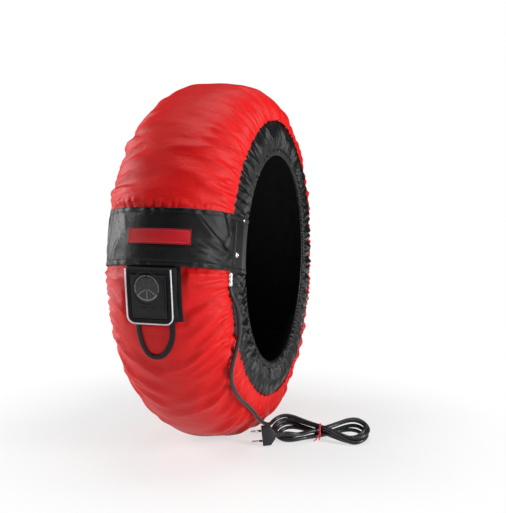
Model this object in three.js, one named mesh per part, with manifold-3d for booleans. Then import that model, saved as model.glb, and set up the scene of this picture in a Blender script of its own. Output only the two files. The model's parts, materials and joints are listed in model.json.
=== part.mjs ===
// Tyre warmer for a wide rear motorcycle tyre, in millimetres, +Z up.
// It stands on its tread, as it does round a tyre, with the ring's axis along X at ringHeight.
// The origin is the middle of the flat that the ring rests on. The closure and controller face -Y.

import * as THREE from "three";
import { mergeVertices } from "three/addons/utils/BufferGeometryUtils.js";
import Module from "manifold-3d";

const wasm = await Module();
wasm.setup();

// Ring: a superellipse crown over the tread, closed at each side by a gathered skirt.
const crownRadius = 325;
const crownHalfWidth = 106;
const seamRadius = 257;
const crownPower = 2.4;
const shoulderPower = 1.65;
const skirtMiddleRadius = 226;
const skirtMiddleHalfWidth = 114;
const hemRadius = 194;
const hemHalfWidth = 110;
const ringHeight = 331;
const bottomSag = 14;
const sagNarrowness = 6;

// Layers, from the outside in.
const coverThickness = 1.6;
const padThickness = 6;
const heaterThickness = 1.5;
const liningThickness = 1.2;
const skirtThickness = 1.4;
const sewnGap = 0.4;

// Folds of the slack cloth, as heights over the smooth form.
const coverFolds = 40;
const foldHeight = 3.6;
const foldPeakRow = 0.75;
const seamFoldHeight = 1;
const drapeHeight = 2.2;
const skirtGathers = 56;
const gatherHeight = 4.2;
const seamGatherHeight = 0.8;
const hemScallop = 1.8;
const pressedGather = 0.3;
const pressedEnd = 0.85;
const pressedFade = 0.1;
const foldVariation = 0.3;
const variationWaves = [5, 8];
const drapeWaves = [7, 12];
const calmRows = [0.25, 0.5];

// Elastic tape inside each hem.
const elasticWidth = 10;
const elasticThickness = 1.4;

// Closure: the strip's two ends meet under a flap, held by hook and loop tape.
const closureAngle = THREE.MathUtils.degToRad(10.4);
const closureGap = 4;
const flapHalfHeight = 46;
const flapThickness = 1.6;
const tapeThickness = 1.2;
const tapeMargin = 2.5;
const tapeTop = -15.3;
const labelWidth = 102;
const labelHeight = 25;
const labelOffset = 9;
const labelThickness = 0.9;
const snapRadius = 4.6;
const snapHeight = 2.2;
const snapPlace = { radius: 241.5, rise: -18.5 };
const rivetRadius = 2.6;
const rivetHeight = 1.4;
const rivetPlace = { radius: 228, rise: 40 };

// Controller pouch below the flap.
const pouchOffset = 1.5;
const panelHalfWidth = 46;
const panelDrop = 91;
const panelThickness = 1.2;
const pouchHalfWidth = 38.3;
const pouchHeight = 17;
const pouchWall = 2;
const pouchCorner = 12;
const pouchBevel = 3;
const pouchTopMargin = 1;
const pipingRadius = 1.4;
const windowMargin = 6;
const bossRise = 1.2;
const ribOffset = 26;
const ribWidth = 2.4;
const ribRise = 1.2;
const dialRadius = 21.5;
const dialPlace = new THREE.Vector2(-2.5, 13);
const dialThickness = 0.8;
const bezelRadius = 27;
const bezelRise = 0.8;
const bezelWidth = 1.6;
const markWidth = 2.2;
const markThickness = 0.4;
const spokeWidth = 1.5;
const spokeAngles = [-90, 216, 324];

// Webbing loop below the pouch: x across and drop down the cloth from the panel's lower edge.
const loopWidth = 9;
const loopThickness = 1.8;
const loopCourse = [
  [-29, 0], [-29, 20], [-26, 42], [-19, 57], [-10, 62], [2, 60], [13, 51], [21, 39], [27, 22], [29, 0],
];

// Power cord with its ferrule, hank, tie and plug.
const cordRadius = 3.5;
const cordSteps = 27;
const cordSides = 8;
const ferruleRadius = 4.3;
const ferruleLength = 22;
const ferruleRing = 262;
const ferruleDrop = 1.5;
const hankCentre = new THREE.Vector3(202, -30, 0);
const hankTurn = THREE.MathUtils.degToRad(12);
const tieThickness = 1;
const tieWidth = 3;
const tieTails = [-9, -1];
const tailReach = 7;
const tailHeight = 2;
const plugWidth = 35.3;
const plugThickness = 13.7;
const plugLength = 24;
const plugRearWidth = 15;
const plugTurn = THREE.MathUtils.degToRad(18.5);
const plugTilt = THREE.MathUtils.degToRad(6);
const plugFace = new THREE.Vector3(112, -101, 17.8);
const pinRadius = 2;
const pinLength = 19;
const pinSpacing = 18.6;
const bootLength = 15;
const bootRadius = 5.4;
const bootEndRadius = 4.2;

const plugShoulder = 0.6;
const bootRibs = 3;
const ribStep = 0.8;

const crownRows = [-1, -0.75, -0.5, -0.25, 0, 0.25, 0.5, 0.75, 1];
const padRows = crownRows.filter((row) => Math.abs(row) <= foldPeakRow);
const tapeRows = crownRows.filter((row) => Math.abs(row) <= 0.5);
const blanketSteps = coverFolds / 2;
const elasticSteps = 30;
const quarterTurn = Math.PI / 2;

// Depth of each layer's outer face under the cover's outer face.
const padDepth = coverThickness + sewnGap;
const heaterDepth = padDepth + padThickness + sewnGap;
const liningDepth = heaterDepth + heaterThickness + sewnGap;

const firstAngle = closureAngle + closureGap / 2 / crownRadius;
const openAngle = 2 * Math.PI - closureGap / crownRadius;

const colours = {
  red_nylon: { color: 0xc8161d, roughness: 0.55, metalness: 0 },
  black_nylon: { color: 0x1b1c1e, roughness: 0.6, metalness: 0 },
  felt: { color: 0xb9b4a8, roughness: 0.95, metalness: 0 },
  lining: { color: 0x232427, roughness: 0.8, metalness: 0 },
  elastic: { color: 0x2a2b2d, roughness: 0.9, metalness: 0 },
  tape: { color: 0x151617, roughness: 0.95, metalness: 0 },
  heater: { color: 0x9a5a34, roughness: 0.6, metalness: 0 },
  label: { color: 0xb3141b, roughness: 0.7, metalness: 0 },
  reflective: { color: 0xd9d8e4, roughness: 0.5, metalness: 0 },
  housing: { color: 0x111214, roughness: 0.4, metalness: 0 },
  marks: { color: 0x8b8d90, roughness: 0.5, metalness: 0 },
  steel: { color: 0xc9cbcd, roughness: 0.25, metalness: 1 },
  rubber: { color: 0x17181a, roughness: 0.55, metalness: 0 },
  tie: { color: 0xd01f2b, roughness: 0.6, metalness: 0 },
};

const warmer = new THREE.Group();

function add(name, geometry, colour, parent = warmer) {
  const mesh = new THREE.Mesh(geometry, new THREE.MeshStandardMaterial(colours[colour]));
  mesh.name = name;
  parent.add(mesh);
  return mesh;
}

// Closed solids from rings of points

// A closed body through rings of equal length, each a convex or strip-like outline.
function loft(rings, closed = false) {
  const count = rings[0].length;
  const positions = rings.flat().flatMap((point) => point.toArray());
  const faces = [];
  const spans = closed ? rings.length : rings.length - 1;
  for (let i = 0; i < spans; i += 1) {
    const here = i * count;
    const there = ((i + 1) % rings.length) * count;
    for (let j = 0; j < count; j += 1) {
      const next = (j + 1) % count;
      faces.push(here + j, there + j, there + next);
      faces.push(here + j, there + next, here + next);
    }
  }
  if (!closed) {
    const last = (rings.length - 1) * count;
    for (let j = 0; j < count / 2 - 1; j += 1) {
      const far = count - 1 - j;
      faces.push(j, j + 1, far - 1);
      faces.push(j, far - 1, far);
      faces.push(last + j, last + far - 1, last + j + 1);
      faces.push(last + j, last + far, last + far - 1);
    }
  }
  const geometry = new THREE.BufferGeometry();
  geometry.setAttribute("position", new THREE.Float32BufferAttribute(positions, 3));
  geometry.setIndex(faces);
  return facingOut(geometry);
}

// The same body with its faces turned round if they point in.
function facingOut(geometry) {
  const place = geometry.attributes.position;
  const index = geometry.index.array;
  const corners = [new THREE.Vector3(), new THREE.Vector3(), new THREE.Vector3()];
  let volume = 0;
  for (let i = 0; i < index.length; i += 3) {
    corners.forEach((corner, k) => corner.fromBufferAttribute(place, index[i + k]));
    volume += corners[0].dot(corners[1].clone().cross(corners[2]));
  }
  if (volume < 0) {
    for (let i = 0; i < index.length; i += 3) {
      [index[i], index[i + 1]] = [index[i + 1], index[i]];
    }
  }
  return geometry;
}

// A section of [side, normal] pairs swept through points, square to the mean of both directions.
function sweep(points, normals, section, closed = false) {
  const count = points.length;
  const rings = points.map((point, i) => {
    const before = closed ? points[(i + count - 1) % count] : points[Math.max(i - 1, 0)];
    const after = closed ? points[(i + 1) % count] : points[Math.min(i + 1, count - 1)];
    const arriving = point.clone().sub(before);
    const leaving = after.clone().sub(point);
    if (arriving.lengthSq() === 0) arriving.copy(leaving);
    if (leaving.lengthSq() === 0) leaving.copy(arriving);
    arriving.normalize();
    leaving.normalize();
    const along = arriving.clone().add(leaving).normalize();
    const side = normals[i].clone().cross(along).normalize();
    const up = along.clone().cross(side);
    const mitre = 1 / Math.max(along.dot(leaving), 0.5);
    return section.map(([a, b]) => point.clone().addScaledVector(side, a * mitre).addScaledVector(up, b));
  });
  return loft(rings, closed);
}

function oblong(width, thickness) {
  const w = width / 2;
  const t = thickness / 2;
  return [[-w, -t], [w, -t], [w, t], [-w, t]];
}

function circle(radius, sides) {
  return Array.from({ length: sides }, (_, i) => {
    const turn = (i + 0.5) / sides * 2 * Math.PI;
    return [radius * Math.cos(turn), radius * Math.sin(turn)];
  });
}

function solid(geometry) {
  const bare = geometry.clone();
  bare.deleteAttribute("normal");
  bare.deleteAttribute("uv");
  const merged = mergeVertices(bare, 1e-4);
  return new wasm.Manifold(new wasm.Mesh({
    numProp: 3,
    vertProperties: merged.attributes.position.array,
    triVerts: new Uint32Array(merged.index.array),
  }));
}

function geometryOf(body) {
  const mesh = body.getMesh();
  const geometry = new THREE.BufferGeometry();
  geometry.setAttribute("position", new THREE.BufferAttribute(mesh.vertProperties, 3));
  geometry.setIndex(new THREE.BufferAttribute(mesh.triVerts, 1));
  return geometry;
}

function plate(shape, bottom, top, bevel = 0) {
  const geometry = new THREE.ExtrudeGeometry(shape, {
    depth: top - bottom - bevel,
    curveSegments: 3,
    bevelEnabled: bevel > 0,
    bevelThickness: bevel,
    bevelSize: bevel,
    bevelOffset: -bevel,
    bevelSegments: 2,
  });
  return geometry.translate(0, 0, bottom);
}

// Form of the ring

// A point at x and radius; the angle counts up from the front.
function ringPoint(x, radius, angle) {
  return new THREE.Vector3(x, -radius * Math.cos(angle), ringHeight + radius * Math.sin(angle));
}

// Rise from 0 to 1 as a value goes from low to high.
function rise(value, low, high) {
  return THREE.MathUtils.smoothstep(value, low, high);
}

// The crown's profile at a row from -1 at the left seam to 1 at the right one, with its normal.
function crownProfile(row) {
  const turn = (1 - Math.abs(row)) * quarterTurn;
  const height = crownRadius - seamRadius;
  const across = Math.cos(turn) ** (2 / crownPower);
  const up = Math.sin(turn) ** (2 / shoulderPower);
  const slopeX = (crownPower / crownHalfWidth) * across ** (crownPower - 1);
  const slopeR = (shoulderPower / height) * up ** (shoulderPower - 1);
  const size = Math.hypot(slopeX, slopeR);
  const side = Math.sign(row);
  return {
    x: side * crownHalfWidth * across,
    radius: seamRadius + height * up,
    up,
    normalX: (side * slopeX) / size,
    normalR: slopeR / size,
  };
}

// The row at which the crown is x wide.
function rowAt(x) {
  const turn = Math.acos((Math.abs(x) / crownHalfWidth) ** (crownPower / 2));
  return Math.sign(x) * (1 - turn / quarterTurn);
}

// How far the slack cloth hangs at the bottom, from 0 to 1.
function sag(angle) {
  return ((1 + Math.cos(angle + quarterTurn)) / 2) ** sagNarrowness;
}

// A point of the crown, raised over its smooth form by lift and kept over the floor.
function crownPoint(row, angle, lift = 0) {
  const at = crownProfile(row);
  const radius = at.radius + bottomSag * at.up * sag(angle) + at.normalR * lift;
  const point = ringPoint(at.x + at.normalX * lift, radius, angle);
  point.z = Math.max(point.z, Math.max(-lift, 0));
  return point;
}

function crownNormal(row, angle) {
  const at = crownProfile(row);
  return new THREE.Vector3(at.normalX, -at.normalR * Math.cos(angle), at.normalR * Math.sin(angle));
}

// The skirt's smooth half width at a radius: two straight slopes from the seam to the hem.
function skirtHalfWidth(radius) {
  const outer = (seamRadius - radius) / (seamRadius - skirtMiddleRadius);
  const inner = (skirtMiddleRadius - radius) / (skirtMiddleRadius - hemRadius);
  return radius > skirtMiddleRadius
    ? THREE.MathUtils.lerp(crownHalfWidth, skirtMiddleHalfWidth, outer)
    : THREE.MathUtils.lerp(skirtMiddleHalfWidth, hemHalfWidth, inner);
}

function fractionAngle(fraction) {
  return firstAngle + openAngle * fraction;
}

// The angle from the closure, from -pi to pi.
function fromClosure(angle) {
  return Math.atan2(Math.sin(angle - closureAngle), Math.cos(angle - closureAngle));
}

const flapReach = flapHalfHeight / crownRadius;
const pouchReach = flapReach + panelDrop / crownRadius;
const loopReach = pouchReach + Math.max(...loopCourse.map((point) => point[1])) / crownRadius;
const fadeReach = THREE.MathUtils.degToRad(5);
const coverStep = openAngle / (2 * coverFolds);
const skirtStep = openAngle / (2 * skirtGathers);
const flatReach = flapHalfHeight / seamRadius + coverStep;
const skirtFlatReach = flapHalfHeight / hemRadius + skirtStep;

// Cloth is drawn flat under the flap and pouch: 0 there, 1 away from them.
function slack(angle, reachUp, reachDown) {
  const away = fromClosure(angle);
  return Math.max(rise(away, reachUp, reachUp + fadeReach), rise(-away, reachDown, reachDown + fadeReach));
}

// A cosine wave round the ring, with so many periods to a lap.
function wave(angle, periods, phase) {
  return Math.cos(periods * angle + phase);
}

// Height of the cover's folds and drape over its smooth form.
function coverLift(row, angle) {
  const side = Math.abs(row);
  const phase = (angle - firstAngle) / openAngle;
  const ridge = 0.5 + 0.5 * Math.cos(2 * Math.PI * coverFolds * phase + (row < 0 ? Math.PI : 0));
  const variety = wave(angle, variationWaves[0], 1) * wave(angle, variationWaves[1], row);
  const scale = 1 - foldVariation + foldVariation * variety;
  const toSeam = Math.max(side - foldPeakRow, 0) / (1 - foldPeakRow);
  const reach = Math.min(side / foldPeakRow, 1) ** 1.5;
  const height = THREE.MathUtils.lerp(foldHeight * reach, seamFoldHeight, toSeam);
  const drape = wave(angle, drapeWaves[0], 0.6 + row) + wave(angle, drapeWaves[1], 2.1 - 2 * row);
  const calm = slack(angle, flatReach, loopReach + coverStep);
  const free = THREE.MathUtils.lerp(calm, slack(angle, flatReach, flatReach), rise(side, ...calmRows));
  return ridge * scale * height * free + (0.5 + drape / 4) * drapeHeight * (1 - side * side) * calm;
}

// A layer that follows the crown between two depths, open at the closure.
function crownLayer(rows, steps, outer, inner) {
  const rings = [];
  for (let i = 0; i <= steps; i += 1) {
    const angle = fractionAngle(i / steps);
    const top = rows.map((row) => crownPoint(row, angle, outer(row, angle)));
    const bottom = rows.map((row) => crownPoint(row, angle, inner(row, angle)));
    rings.push([...top, ...bottom.reverse()]);
  }
  return loft(rings);
}

// Cover, padding and lining

add("outer_cover", crownLayer(
  crownRows,
  2 * coverFolds,
  coverLift,
  (row, angle) => coverLift(row, angle) - coverThickness,
), "red_nylon");

add("insulation_pad", crownLayer(
  padRows,
  blanketSteps,
  () => -padDepth,
  () => -padDepth - padThickness,
), "felt");

// The lining closes the blanket: at the seams it comes up against the cover.
function liningLift(row) {
  return Math.abs(row) > foldPeakRow ? -padDepth : -liningDepth;
}

add("inner_lining", crownLayer(
  crownRows,
  blanketSteps,
  liningLift,
  (row) => liningLift(row) - liningThickness,
), "lining");

// Heater wire: four runs round the tread in one length, turned at the closure.
function heaterWire() {
  const depth = heaterDepth + heaterThickness / 2;
  const runs = [-0.5, -0.25, 0.25, 0.5];
  const course = [];
  runs.forEach((row, i) => {
    const steps = Array.from({ length: blanketSteps - 1 }, (_, k) => k + 1);
    if (i % 2 === 1) steps.reverse();
    if (i === 2) course.push([0, steps[0]]);
    steps.forEach((step) => course.push([row, step]));
  });
  const angles = course.map(([, step]) => fractionAngle(step / blanketSteps));
  const points = course.map(([row], i) => crownPoint(row, angles[i], -depth));
  const normals = course.map(([row], i) => crownNormal(row, angles[i]));
  return sweep(points, normals, oblong(heaterThickness, heaterThickness));
}

add("heater_wire", heaterWire(), "heater");

// Thermostat under the pad: a flat can between the middle runs of the wire.
function thermostat() {
  const size = 0.3;
  const rows = [0, 0.25];
  const steps = [2, 3];
  const corner = (across, along, depth) => {
    const [start, end] = steps.map((step) => {
      const angle = fractionAngle(step / blanketSteps);
      const [near, far] = rows.map((row) => crownPoint(row, angle, -depth));
      return near.lerp(far, across);
    });
    return start.lerp(end, along);
  };
  const low = heaterDepth + heaterThickness;
  const left = 0.5 - size / 2;
  const right = 0.5 + size / 2;
  const ring = (along) => [
    corner(left, along, heaterDepth),
    corner(right, along, heaterDepth),
    corner(right, along, low),
    corner(left, along, low),
  ];
  return loft([ring(0.5 - size / 4), ring(0.5 + size / 4)]);
}

add("thermostat", thermostat(), "housing");

// Side skirts and their elastic

// Skirt gathers lie flatter under the flap, and under the cord on the right side.
function gatherAt(side, angle) {
  const free = slack(angle, skirtFlatReach, skirtFlatReach);
  const below = -fromClosure(angle);
  const pressed = side > 0 ? 1 - rise(below, pressedEnd - pressedFade, pressedEnd) : 0;
  return below > 0 ? free * THREE.MathUtils.lerp(1, pressedGather, pressed) : free;
}

function sideSkirt(side) {
  const steps = 2 * skirtGathers;
  const rings = [];
  for (let i = 0; i <= steps; i += 1) {
    const angle = fractionAngle(i / steps);
    const lift = (i % 2) * gatherAt(side, angle);
    const rows = [
      [seamRadius - sewnGap, crownHalfWidth + seamGatherHeight * lift],
      [skirtMiddleRadius, skirtMiddleHalfWidth + gatherHeight * lift],
      [hemRadius + hemScallop * lift, hemHalfWidth + gatherHeight * lift],
    ];
    const outer = rows.map(([radius, x]) => ringPoint(side * x, radius, angle));
    const inner = rows.map(([radius, x]) => ringPoint(side * (x - skirtThickness), radius, angle));
    rings.push([...outer, ...inner.reverse()]);
  }
  return loft(rings);
}

function hemElastic(side) {
  const clearance = skirtThickness + sewnGap;
  const lip = 1;
  const rows = [hemRadius + lip, hemRadius + lip + elasticWidth];
  const section = [];
  for (const radius of rows) section.push([radius, skirtHalfWidth(radius) - clearance]);
  for (const radius of rows.slice().reverse()) {
    section.push([radius, skirtHalfWidth(radius) - clearance - elasticThickness]);
  }
  const rings = [];
  for (let i = 0; i <= elasticSteps; i += 1) {
    const angle = fractionAngle(i / elasticSteps);
    rings.push(section.map(([radius, x]) => ringPoint(side * x, radius, angle)));
  }
  return loft(rings);
}

for (const [name, side] of [["left", -1], ["right", 1]]) {
  add(`side_skirt_${name}`, sideSkirt(side), "black_nylon");
  add(`hem_elastic_${name}`, hemElastic(side), "elastic");
}

// Closure flap, tapes and label

// The flap's path from the left hem over the crown to the right hem, as a point at each row.
const flapRows = [-3, -2, ...crownRows, 2, 3];

function flapPoint(row, across, lift) {
  const side = Math.sign(row);
  if (Math.abs(row) > 1) {
    const radius = Math.abs(row) === 2 ? skirtMiddleRadius : hemRadius + hemScallop;
    const x = skirtHalfWidth(radius) + lift;
    return ringPoint(side * x, radius, closureAngle + across / radius);
  }
  const at = crownProfile(row);
  return crownPoint(row, closureAngle + across / at.radius, lift);
}

// The flap is sewn down above the closure and lies on both tapes below it.
const tapeLift = sewnGap + 2 * (tapeThickness + sewnGap);

function flapLift(row, across) {
  const overTapes = 1 - rise(Math.abs(row), 0.5, 1);
  const below = THREE.MathUtils.clamp(across / tapeTop, 0, 1);
  return sewnGap + (tapeLift - sewnGap) * overTapes * below;
}

function flapSheet(rows, edges, bottom, top) {
  return loft(edges.map((across) => {
    const lower = rows.map((row) => flapPoint(row, across, bottom(row, across)));
    const upper = rows.map((row) => flapPoint(row, across, top(row, across)));
    return [...upper, ...lower.reverse()];
  }));
}

function evenSteps(from, to, count) {
  return Array.from({ length: count + 1 }, (_, i) => from + ((to - from) * i) / count);
}

add("closure_flap", flapSheet(
  flapRows,
  [...evenSteps(-flapHalfHeight, tapeTop, 2), ...evenSteps(0, flapHalfHeight, 3)],
  flapLift,
  (row, across) => flapLift(row, across) + flapThickness,
), "black_nylon");

const tapeEdges = evenSteps(-flapHalfHeight + tapeMargin, tapeTop - tapeMargin, 2);
const hookLift = sewnGap + tapeThickness + sewnGap;
add("loop_tape", flapSheet(tapeRows, tapeEdges, () => sewnGap, () => sewnGap + tapeThickness), "tape");
add("hook_tape", flapSheet(tapeRows, tapeEdges, () => hookLift, () => hookLift + tapeThickness), "tape");

function labelPatch() {
  const left = labelOffset - labelWidth / 2;
  const right = labelOffset + labelWidth / 2;
  const rows = [left, 0, crownProfile(0.25).x, right].map(rowAt);
  const edges = [-labelHeight / 2, 0, labelHeight / 2];
  const base = (row, across) => flapLift(row, across) + flapThickness + sewnGap;
  return flapSheet(rows, edges, base, (row, across) => base(row, across) + labelThickness);
}

add("label_patch", labelPatch(), "label");

// A domed cap on the flap where it lies on a skirt, square to the slope that carries it.
function skirtCap(side, place, radius, height) {
  const shoulder = 0.72 * radius;
  const profile = [[0, 0], [radius, 0], [radius, 0.35 * height], [shoulder, 0.8 * height], [0, height]];
  const geometry = new THREE.LatheGeometry(profile.map(([x, y]) => new THREE.Vector2(x, y)), 10);
  const angle = closureAngle + place.rise / place.radius;
  const slope = skirtHalfWidth(place.radius - 1) - skirtHalfWidth(place.radius);
  const normal = new THREE.Vector3(side, -slope * Math.cos(angle), slope * Math.sin(angle)).normalize();
  const face = skirtHalfWidth(place.radius) + sewnGap + flapThickness;
  const seat = ringPoint(side * face, place.radius, angle).addScaledVector(normal, sewnGap);
  geometry.applyQuaternion(new THREE.Quaternion().setFromUnitVectors(new THREE.Vector3(0, 1, 0), normal));
  return geometry.translate(seat.x, seat.y, seat.z);
}

for (const [name, side] of [["left", -1], ["right", 1]]) {
  add(`snap_cap_${name}`, skirtCap(side, snapPlace, snapRadius, snapHeight), "steel");
  add(`rivet_${name}`, skirtCap(side, rivetPlace, rivetRadius, rivetHeight), "steel");
}

// Controller pouch

// Below the flap, drop is measured down the cloth from the flap's lower edge.
const flapEdgeAngle = closureAngle - flapReach;

function clothPoint(x, drop, lift) {
  return crownPoint(rowAt(x), flapEdgeAngle - drop / crownRadius, lift);
}

function clothPatch(edgesX, drops, bottom, top) {
  return loft(drops.map((drop) => {
    const upper = edgesX.map((x) => clothPoint(x, drop, top));
    const lower = edgesX.map((x) => clothPoint(x, drop, bottom));
    return [...upper, ...lower.reverse()];
  }));
}

const panelLeft = pouchOffset - panelHalfWidth;
const panelRight = pouchOffset + panelHalfWidth;
const panelTop = sewnGap + panelThickness;
const panelColumns = [panelLeft, panelLeft / 2, 0, panelRight / 2, panelRight];
add("pouch_back_panel", clothPatch(
  panelColumns,
  evenSteps(pouchTopMargin, panelDrop, 4),
  sewnGap,
  panelTop,
), "black_nylon");

// The pouch's own frame: X across, Y up the cloth, Z out, its origin on the crown behind it.
const pouchAngle = flapEdgeAngle - panelDrop / 2 / crownRadius;
const pouch = new THREE.Group();
pouch.position.copy(ringPoint(pouchOffset, crownRadius, pouchAngle));
pouch.rotation.x = quarterTurn - pouchAngle;
pouch.updateMatrixWorld();
warmer.add(pouch);

const pouchTop = panelDrop / 2 - 2 * pouchTopMargin;
const pouchBottom = -panelDrop / 2 + pipingRadius;

// A pouch outline, square at the top and round at the lower corners, drawn in by inset.
function pouchOutline(inset, topInset = inset) {
  const w = pouchHalfWidth - inset;
  const low = pouchBottom + inset;
  const high = pouchTop - topInset;
  const r = Math.max(pouchCorner - inset, 1);
  const shape = new THREE.Shape();
  shape.moveTo(-w, high);
  shape.lineTo(-w, low + r);
  shape.absarc(-w + r, low + r, r, Math.PI, 1.5 * Math.PI, false);
  shape.absarc(w - r, low + r, r, 1.5 * Math.PI, 2 * Math.PI, false);
  shape.lineTo(w, high);
  shape.closePath();
  return shape;
}

// What lies behind the pouch, up to the lift given, in the pouch's frame.
function backing(lift) {
  const reach = panelHalfWidth - sewnGap;
  const columns = [-2, -1, -0.5, 0, 0.5, 1, 2].map((share) => pouchOffset + share * reach);
  const drops = evenSteps(-0.2 * panelDrop, 1.2 * panelDrop, 7);
  const geometry = clothPatch(columns, drops, -2 * pouchHeight, lift);
  return solid(geometry.applyMatrix4(pouch.matrixWorld.clone().invert()));
}

const deepBottom = -1.5 * pouchHeight;
const housingInset = pouchWall + sewnGap;

function pouchFront() {
  const windowShape = pouchOutline(pouchWall + windowMargin);
  return geometryOf(
    solid(plate(pouchOutline(0), deepBottom, pouchHeight, pouchBevel))
      .subtract(solid(plate(pouchOutline(pouchWall), deepBottom - 1, pouchHeight - pouchWall)))
      .subtract(solid(plate(windowShape, 0, pouchHeight + 1)))
      .subtract(backing(panelTop + sewnGap)),
  );
}

add("pouch_front", pouchFront(), "black_nylon", pouch);

const dialSegments = 20;

function dialDisc(radius, bottom, top) {
  const geometry = new THREE.CylinderGeometry(radius, radius, top - bottom, dialSegments);
  geometry.rotateX(quarterTurn);
  return geometry.translate(dialPlace.x, dialPlace.y, (top + bottom) / 2);
}

// The controller's housing: a block under the pouch's rim, with a boss in its window.
const bossInset = pouchWall + windowMargin + sewnGap;
const bossTop = pouchHeight + bossRise;

function controllerHousing() {
  const ribLow = pouchBottom + bossInset + pouchCorner;
  const ribHigh = pouchTop - bossInset - ribWidth;
  const ribShape = new THREE.Shape();
  ribShape.moveTo(ribOffset, ribLow);
  ribShape.lineTo(ribOffset + ribWidth, ribLow);
  ribShape.lineTo(ribOffset + ribWidth, ribHigh);
  ribShape.lineTo(ribOffset, ribHigh);
  const recess = dialDisc(dialRadius + sewnGap, bossTop - dialThickness, bossTop + 1);
  const body = solid(plate(pouchOutline(housingInset), deepBottom, pouchHeight - housingInset, 1))
    .add(solid(plate(pouchOutline(bossInset), 0, bossTop, 1)))
    .add(solid(plate(ribShape, bossTop - 1, bossTop + ribRise, ribRise / 2)))
    .subtract(solid(recess))
    .subtract(backing(panelTop + sewnGap));
  return geometryOf(body);
}

add("controller_housing", controllerHousing(), "housing", pouch);

// Dial: a flush face, a raised ring round it, and its printed ring with three spokes.
function dialRing(inner, outer, bottom, top) {
  const profile = [[inner, bottom], [outer, bottom], [outer, top], [inner, top], [inner, bottom]];
  const geometry = new THREE.LatheGeometry(profile.map(([x, y]) => new THREE.Vector2(x, y)), dialSegments);
  geometry.rotateX(quarterTurn);
  return geometry.translate(dialPlace.x, dialPlace.y, 0);
}

const bezelBottom = bossTop + sewnGap / 2;
const bezelTop = bezelBottom + bezelRise;
add("dial_face", dialDisc(dialRadius, bezelBottom - dialThickness, bezelBottom), "housing", pouch);
add("dial_bezel", dialRing(bezelRadius - bezelWidth, bezelRadius, bezelBottom, bezelTop), "housing", pouch);

function dialMarks() {
  const bottom = bezelBottom + sewnGap;
  const top = bottom + markThickness;
  const outer = dialRadius - 1;
  const inner = outer - markWidth;
  let body = solid(dialRing(inner, outer, bottom, top));
  for (const degrees of spokeAngles) {
    const turn = THREE.MathUtils.degToRad(degrees);
    const spoke = new THREE.BoxGeometry(outer - markWidth / 4, spokeWidth, markThickness);
    spoke.translate(outer / 2, 0, (bottom + top) / 2);
    spoke.rotateZ(turn);
    spoke.translate(dialPlace.x, dialPlace.y, 0);
    body = body.add(solid(spoke));
  }
  return geometryOf(body);
}

add("dial_marks", dialMarks(), "marks", pouch);

// White piping round the front edge: down one side, along the bottom and up the other.
function pouchPiping() {
  const reach = (pouchBevel + pipingRadius + sewnGap) * Math.SQRT1_2 - pouchBevel;
  const w = pouchHalfWidth + reach;
  const low = pouchBottom - reach;
  const r = pouchCorner + reach;
  const height = pouchHeight + reach;
  const points = [new THREE.Vector3(-w, pouchTop, height)];
  for (const [centreX, start] of [[-w + r, Math.PI], [w - r, 1.5 * Math.PI]]) {
    for (let i = 0; i <= 3; i += 1) {
      const turn = start + (i / 3) * quarterTurn;
      points.push(new THREE.Vector3(centreX + r * Math.cos(turn), low + r + r * Math.sin(turn), height));
    }
  }
  points.push(new THREE.Vector3(w, pouchTop, height));
  const normals = points.map(() => new THREE.Vector3(0, 0, 1));
  return sweep(points, normals, circle(pipingRadius, 6));
}

add("pouch_piping", pouchPiping(), "reflective", pouch);

// Webbing loop on the cloth, both ends at the panel's lower edge.
function pullLoop() {
  const lift = sewnGap + loopThickness / 2;
  const curve = new THREE.CatmullRomCurve3(
    loopCourse.map(([x, drop]) => new THREE.Vector3(pouchOffset + x, panelDrop + sewnGap + drop, 0)),
    false,
    "centripetal",
  );
  const flat = curve.getPoints(2 * loopCourse.length);
  const points = flat.map((point) => clothPoint(point.x, point.y, lift));
  const normals = flat.map((point) => crownNormal(rowAt(point.x), flapEdgeAngle - point.y / crownRadius));
  return sweep(points, normals, oblong(loopWidth, loopThickness));
}

add("pull_loop", pullLoop(), "black_nylon");

// Power cord

// The ferrule hangs on the right seam just below the flap's lower corner.
function ferruleSeat() {
  const seam = crownProfile(1);
  const shoulder = crownProfile(foldPeakRow);
  const share = (ferruleRing - seam.radius) / (shoulder.radius - seam.radius);
  const slope = new THREE.Vector2(shoulder.radius - seam.radius, seam.x - shoulder.x).normalize();
  const reach = ferruleRadius + sewnGap;
  return {
    x: THREE.MathUtils.lerp(seam.x, shoulder.x, share) + slope.x * reach,
    radius: ferruleRing + slope.y * reach,
  };
}

const ferrule = ferruleSeat();
const ferruleTop = ringPoint(0, seamRadius, closureAngle - flapHalfHeight / seamRadius).z - ferruleDrop;
const ferruleEnd = ferruleTop - ferruleLength;

function cordFerrule() {
  const r = ferruleRadius;
  const h = ferruleLength;
  const lip = 1;
  const profile = [[0, 0], [r - lip, 0], [r, lip], [r, h - lip], [r - lip, h], [0, h]];
  const geometry = new THREE.LatheGeometry(profile.map(([x, y]) => new THREE.Vector2(x, y)), 10);
  geometry.rotateX(quarterTurn);
  return geometry.translate(ferrule.x, -ferrule.radius, ferruleEnd);
}

add("cord_ferrule", cordFerrule(), "steel");

function tube(points, steps) {
  const shape = new THREE.Shape(circle(cordRadius, cordSides).map(([x, y]) => new THREE.Vector2(x, y)));
  const extrudePath = new THREE.CatmullRomCurve3(points, false, "centripetal");
  return new THREE.ExtrudeGeometry(shape, { steps, extrudePath });
}

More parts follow.
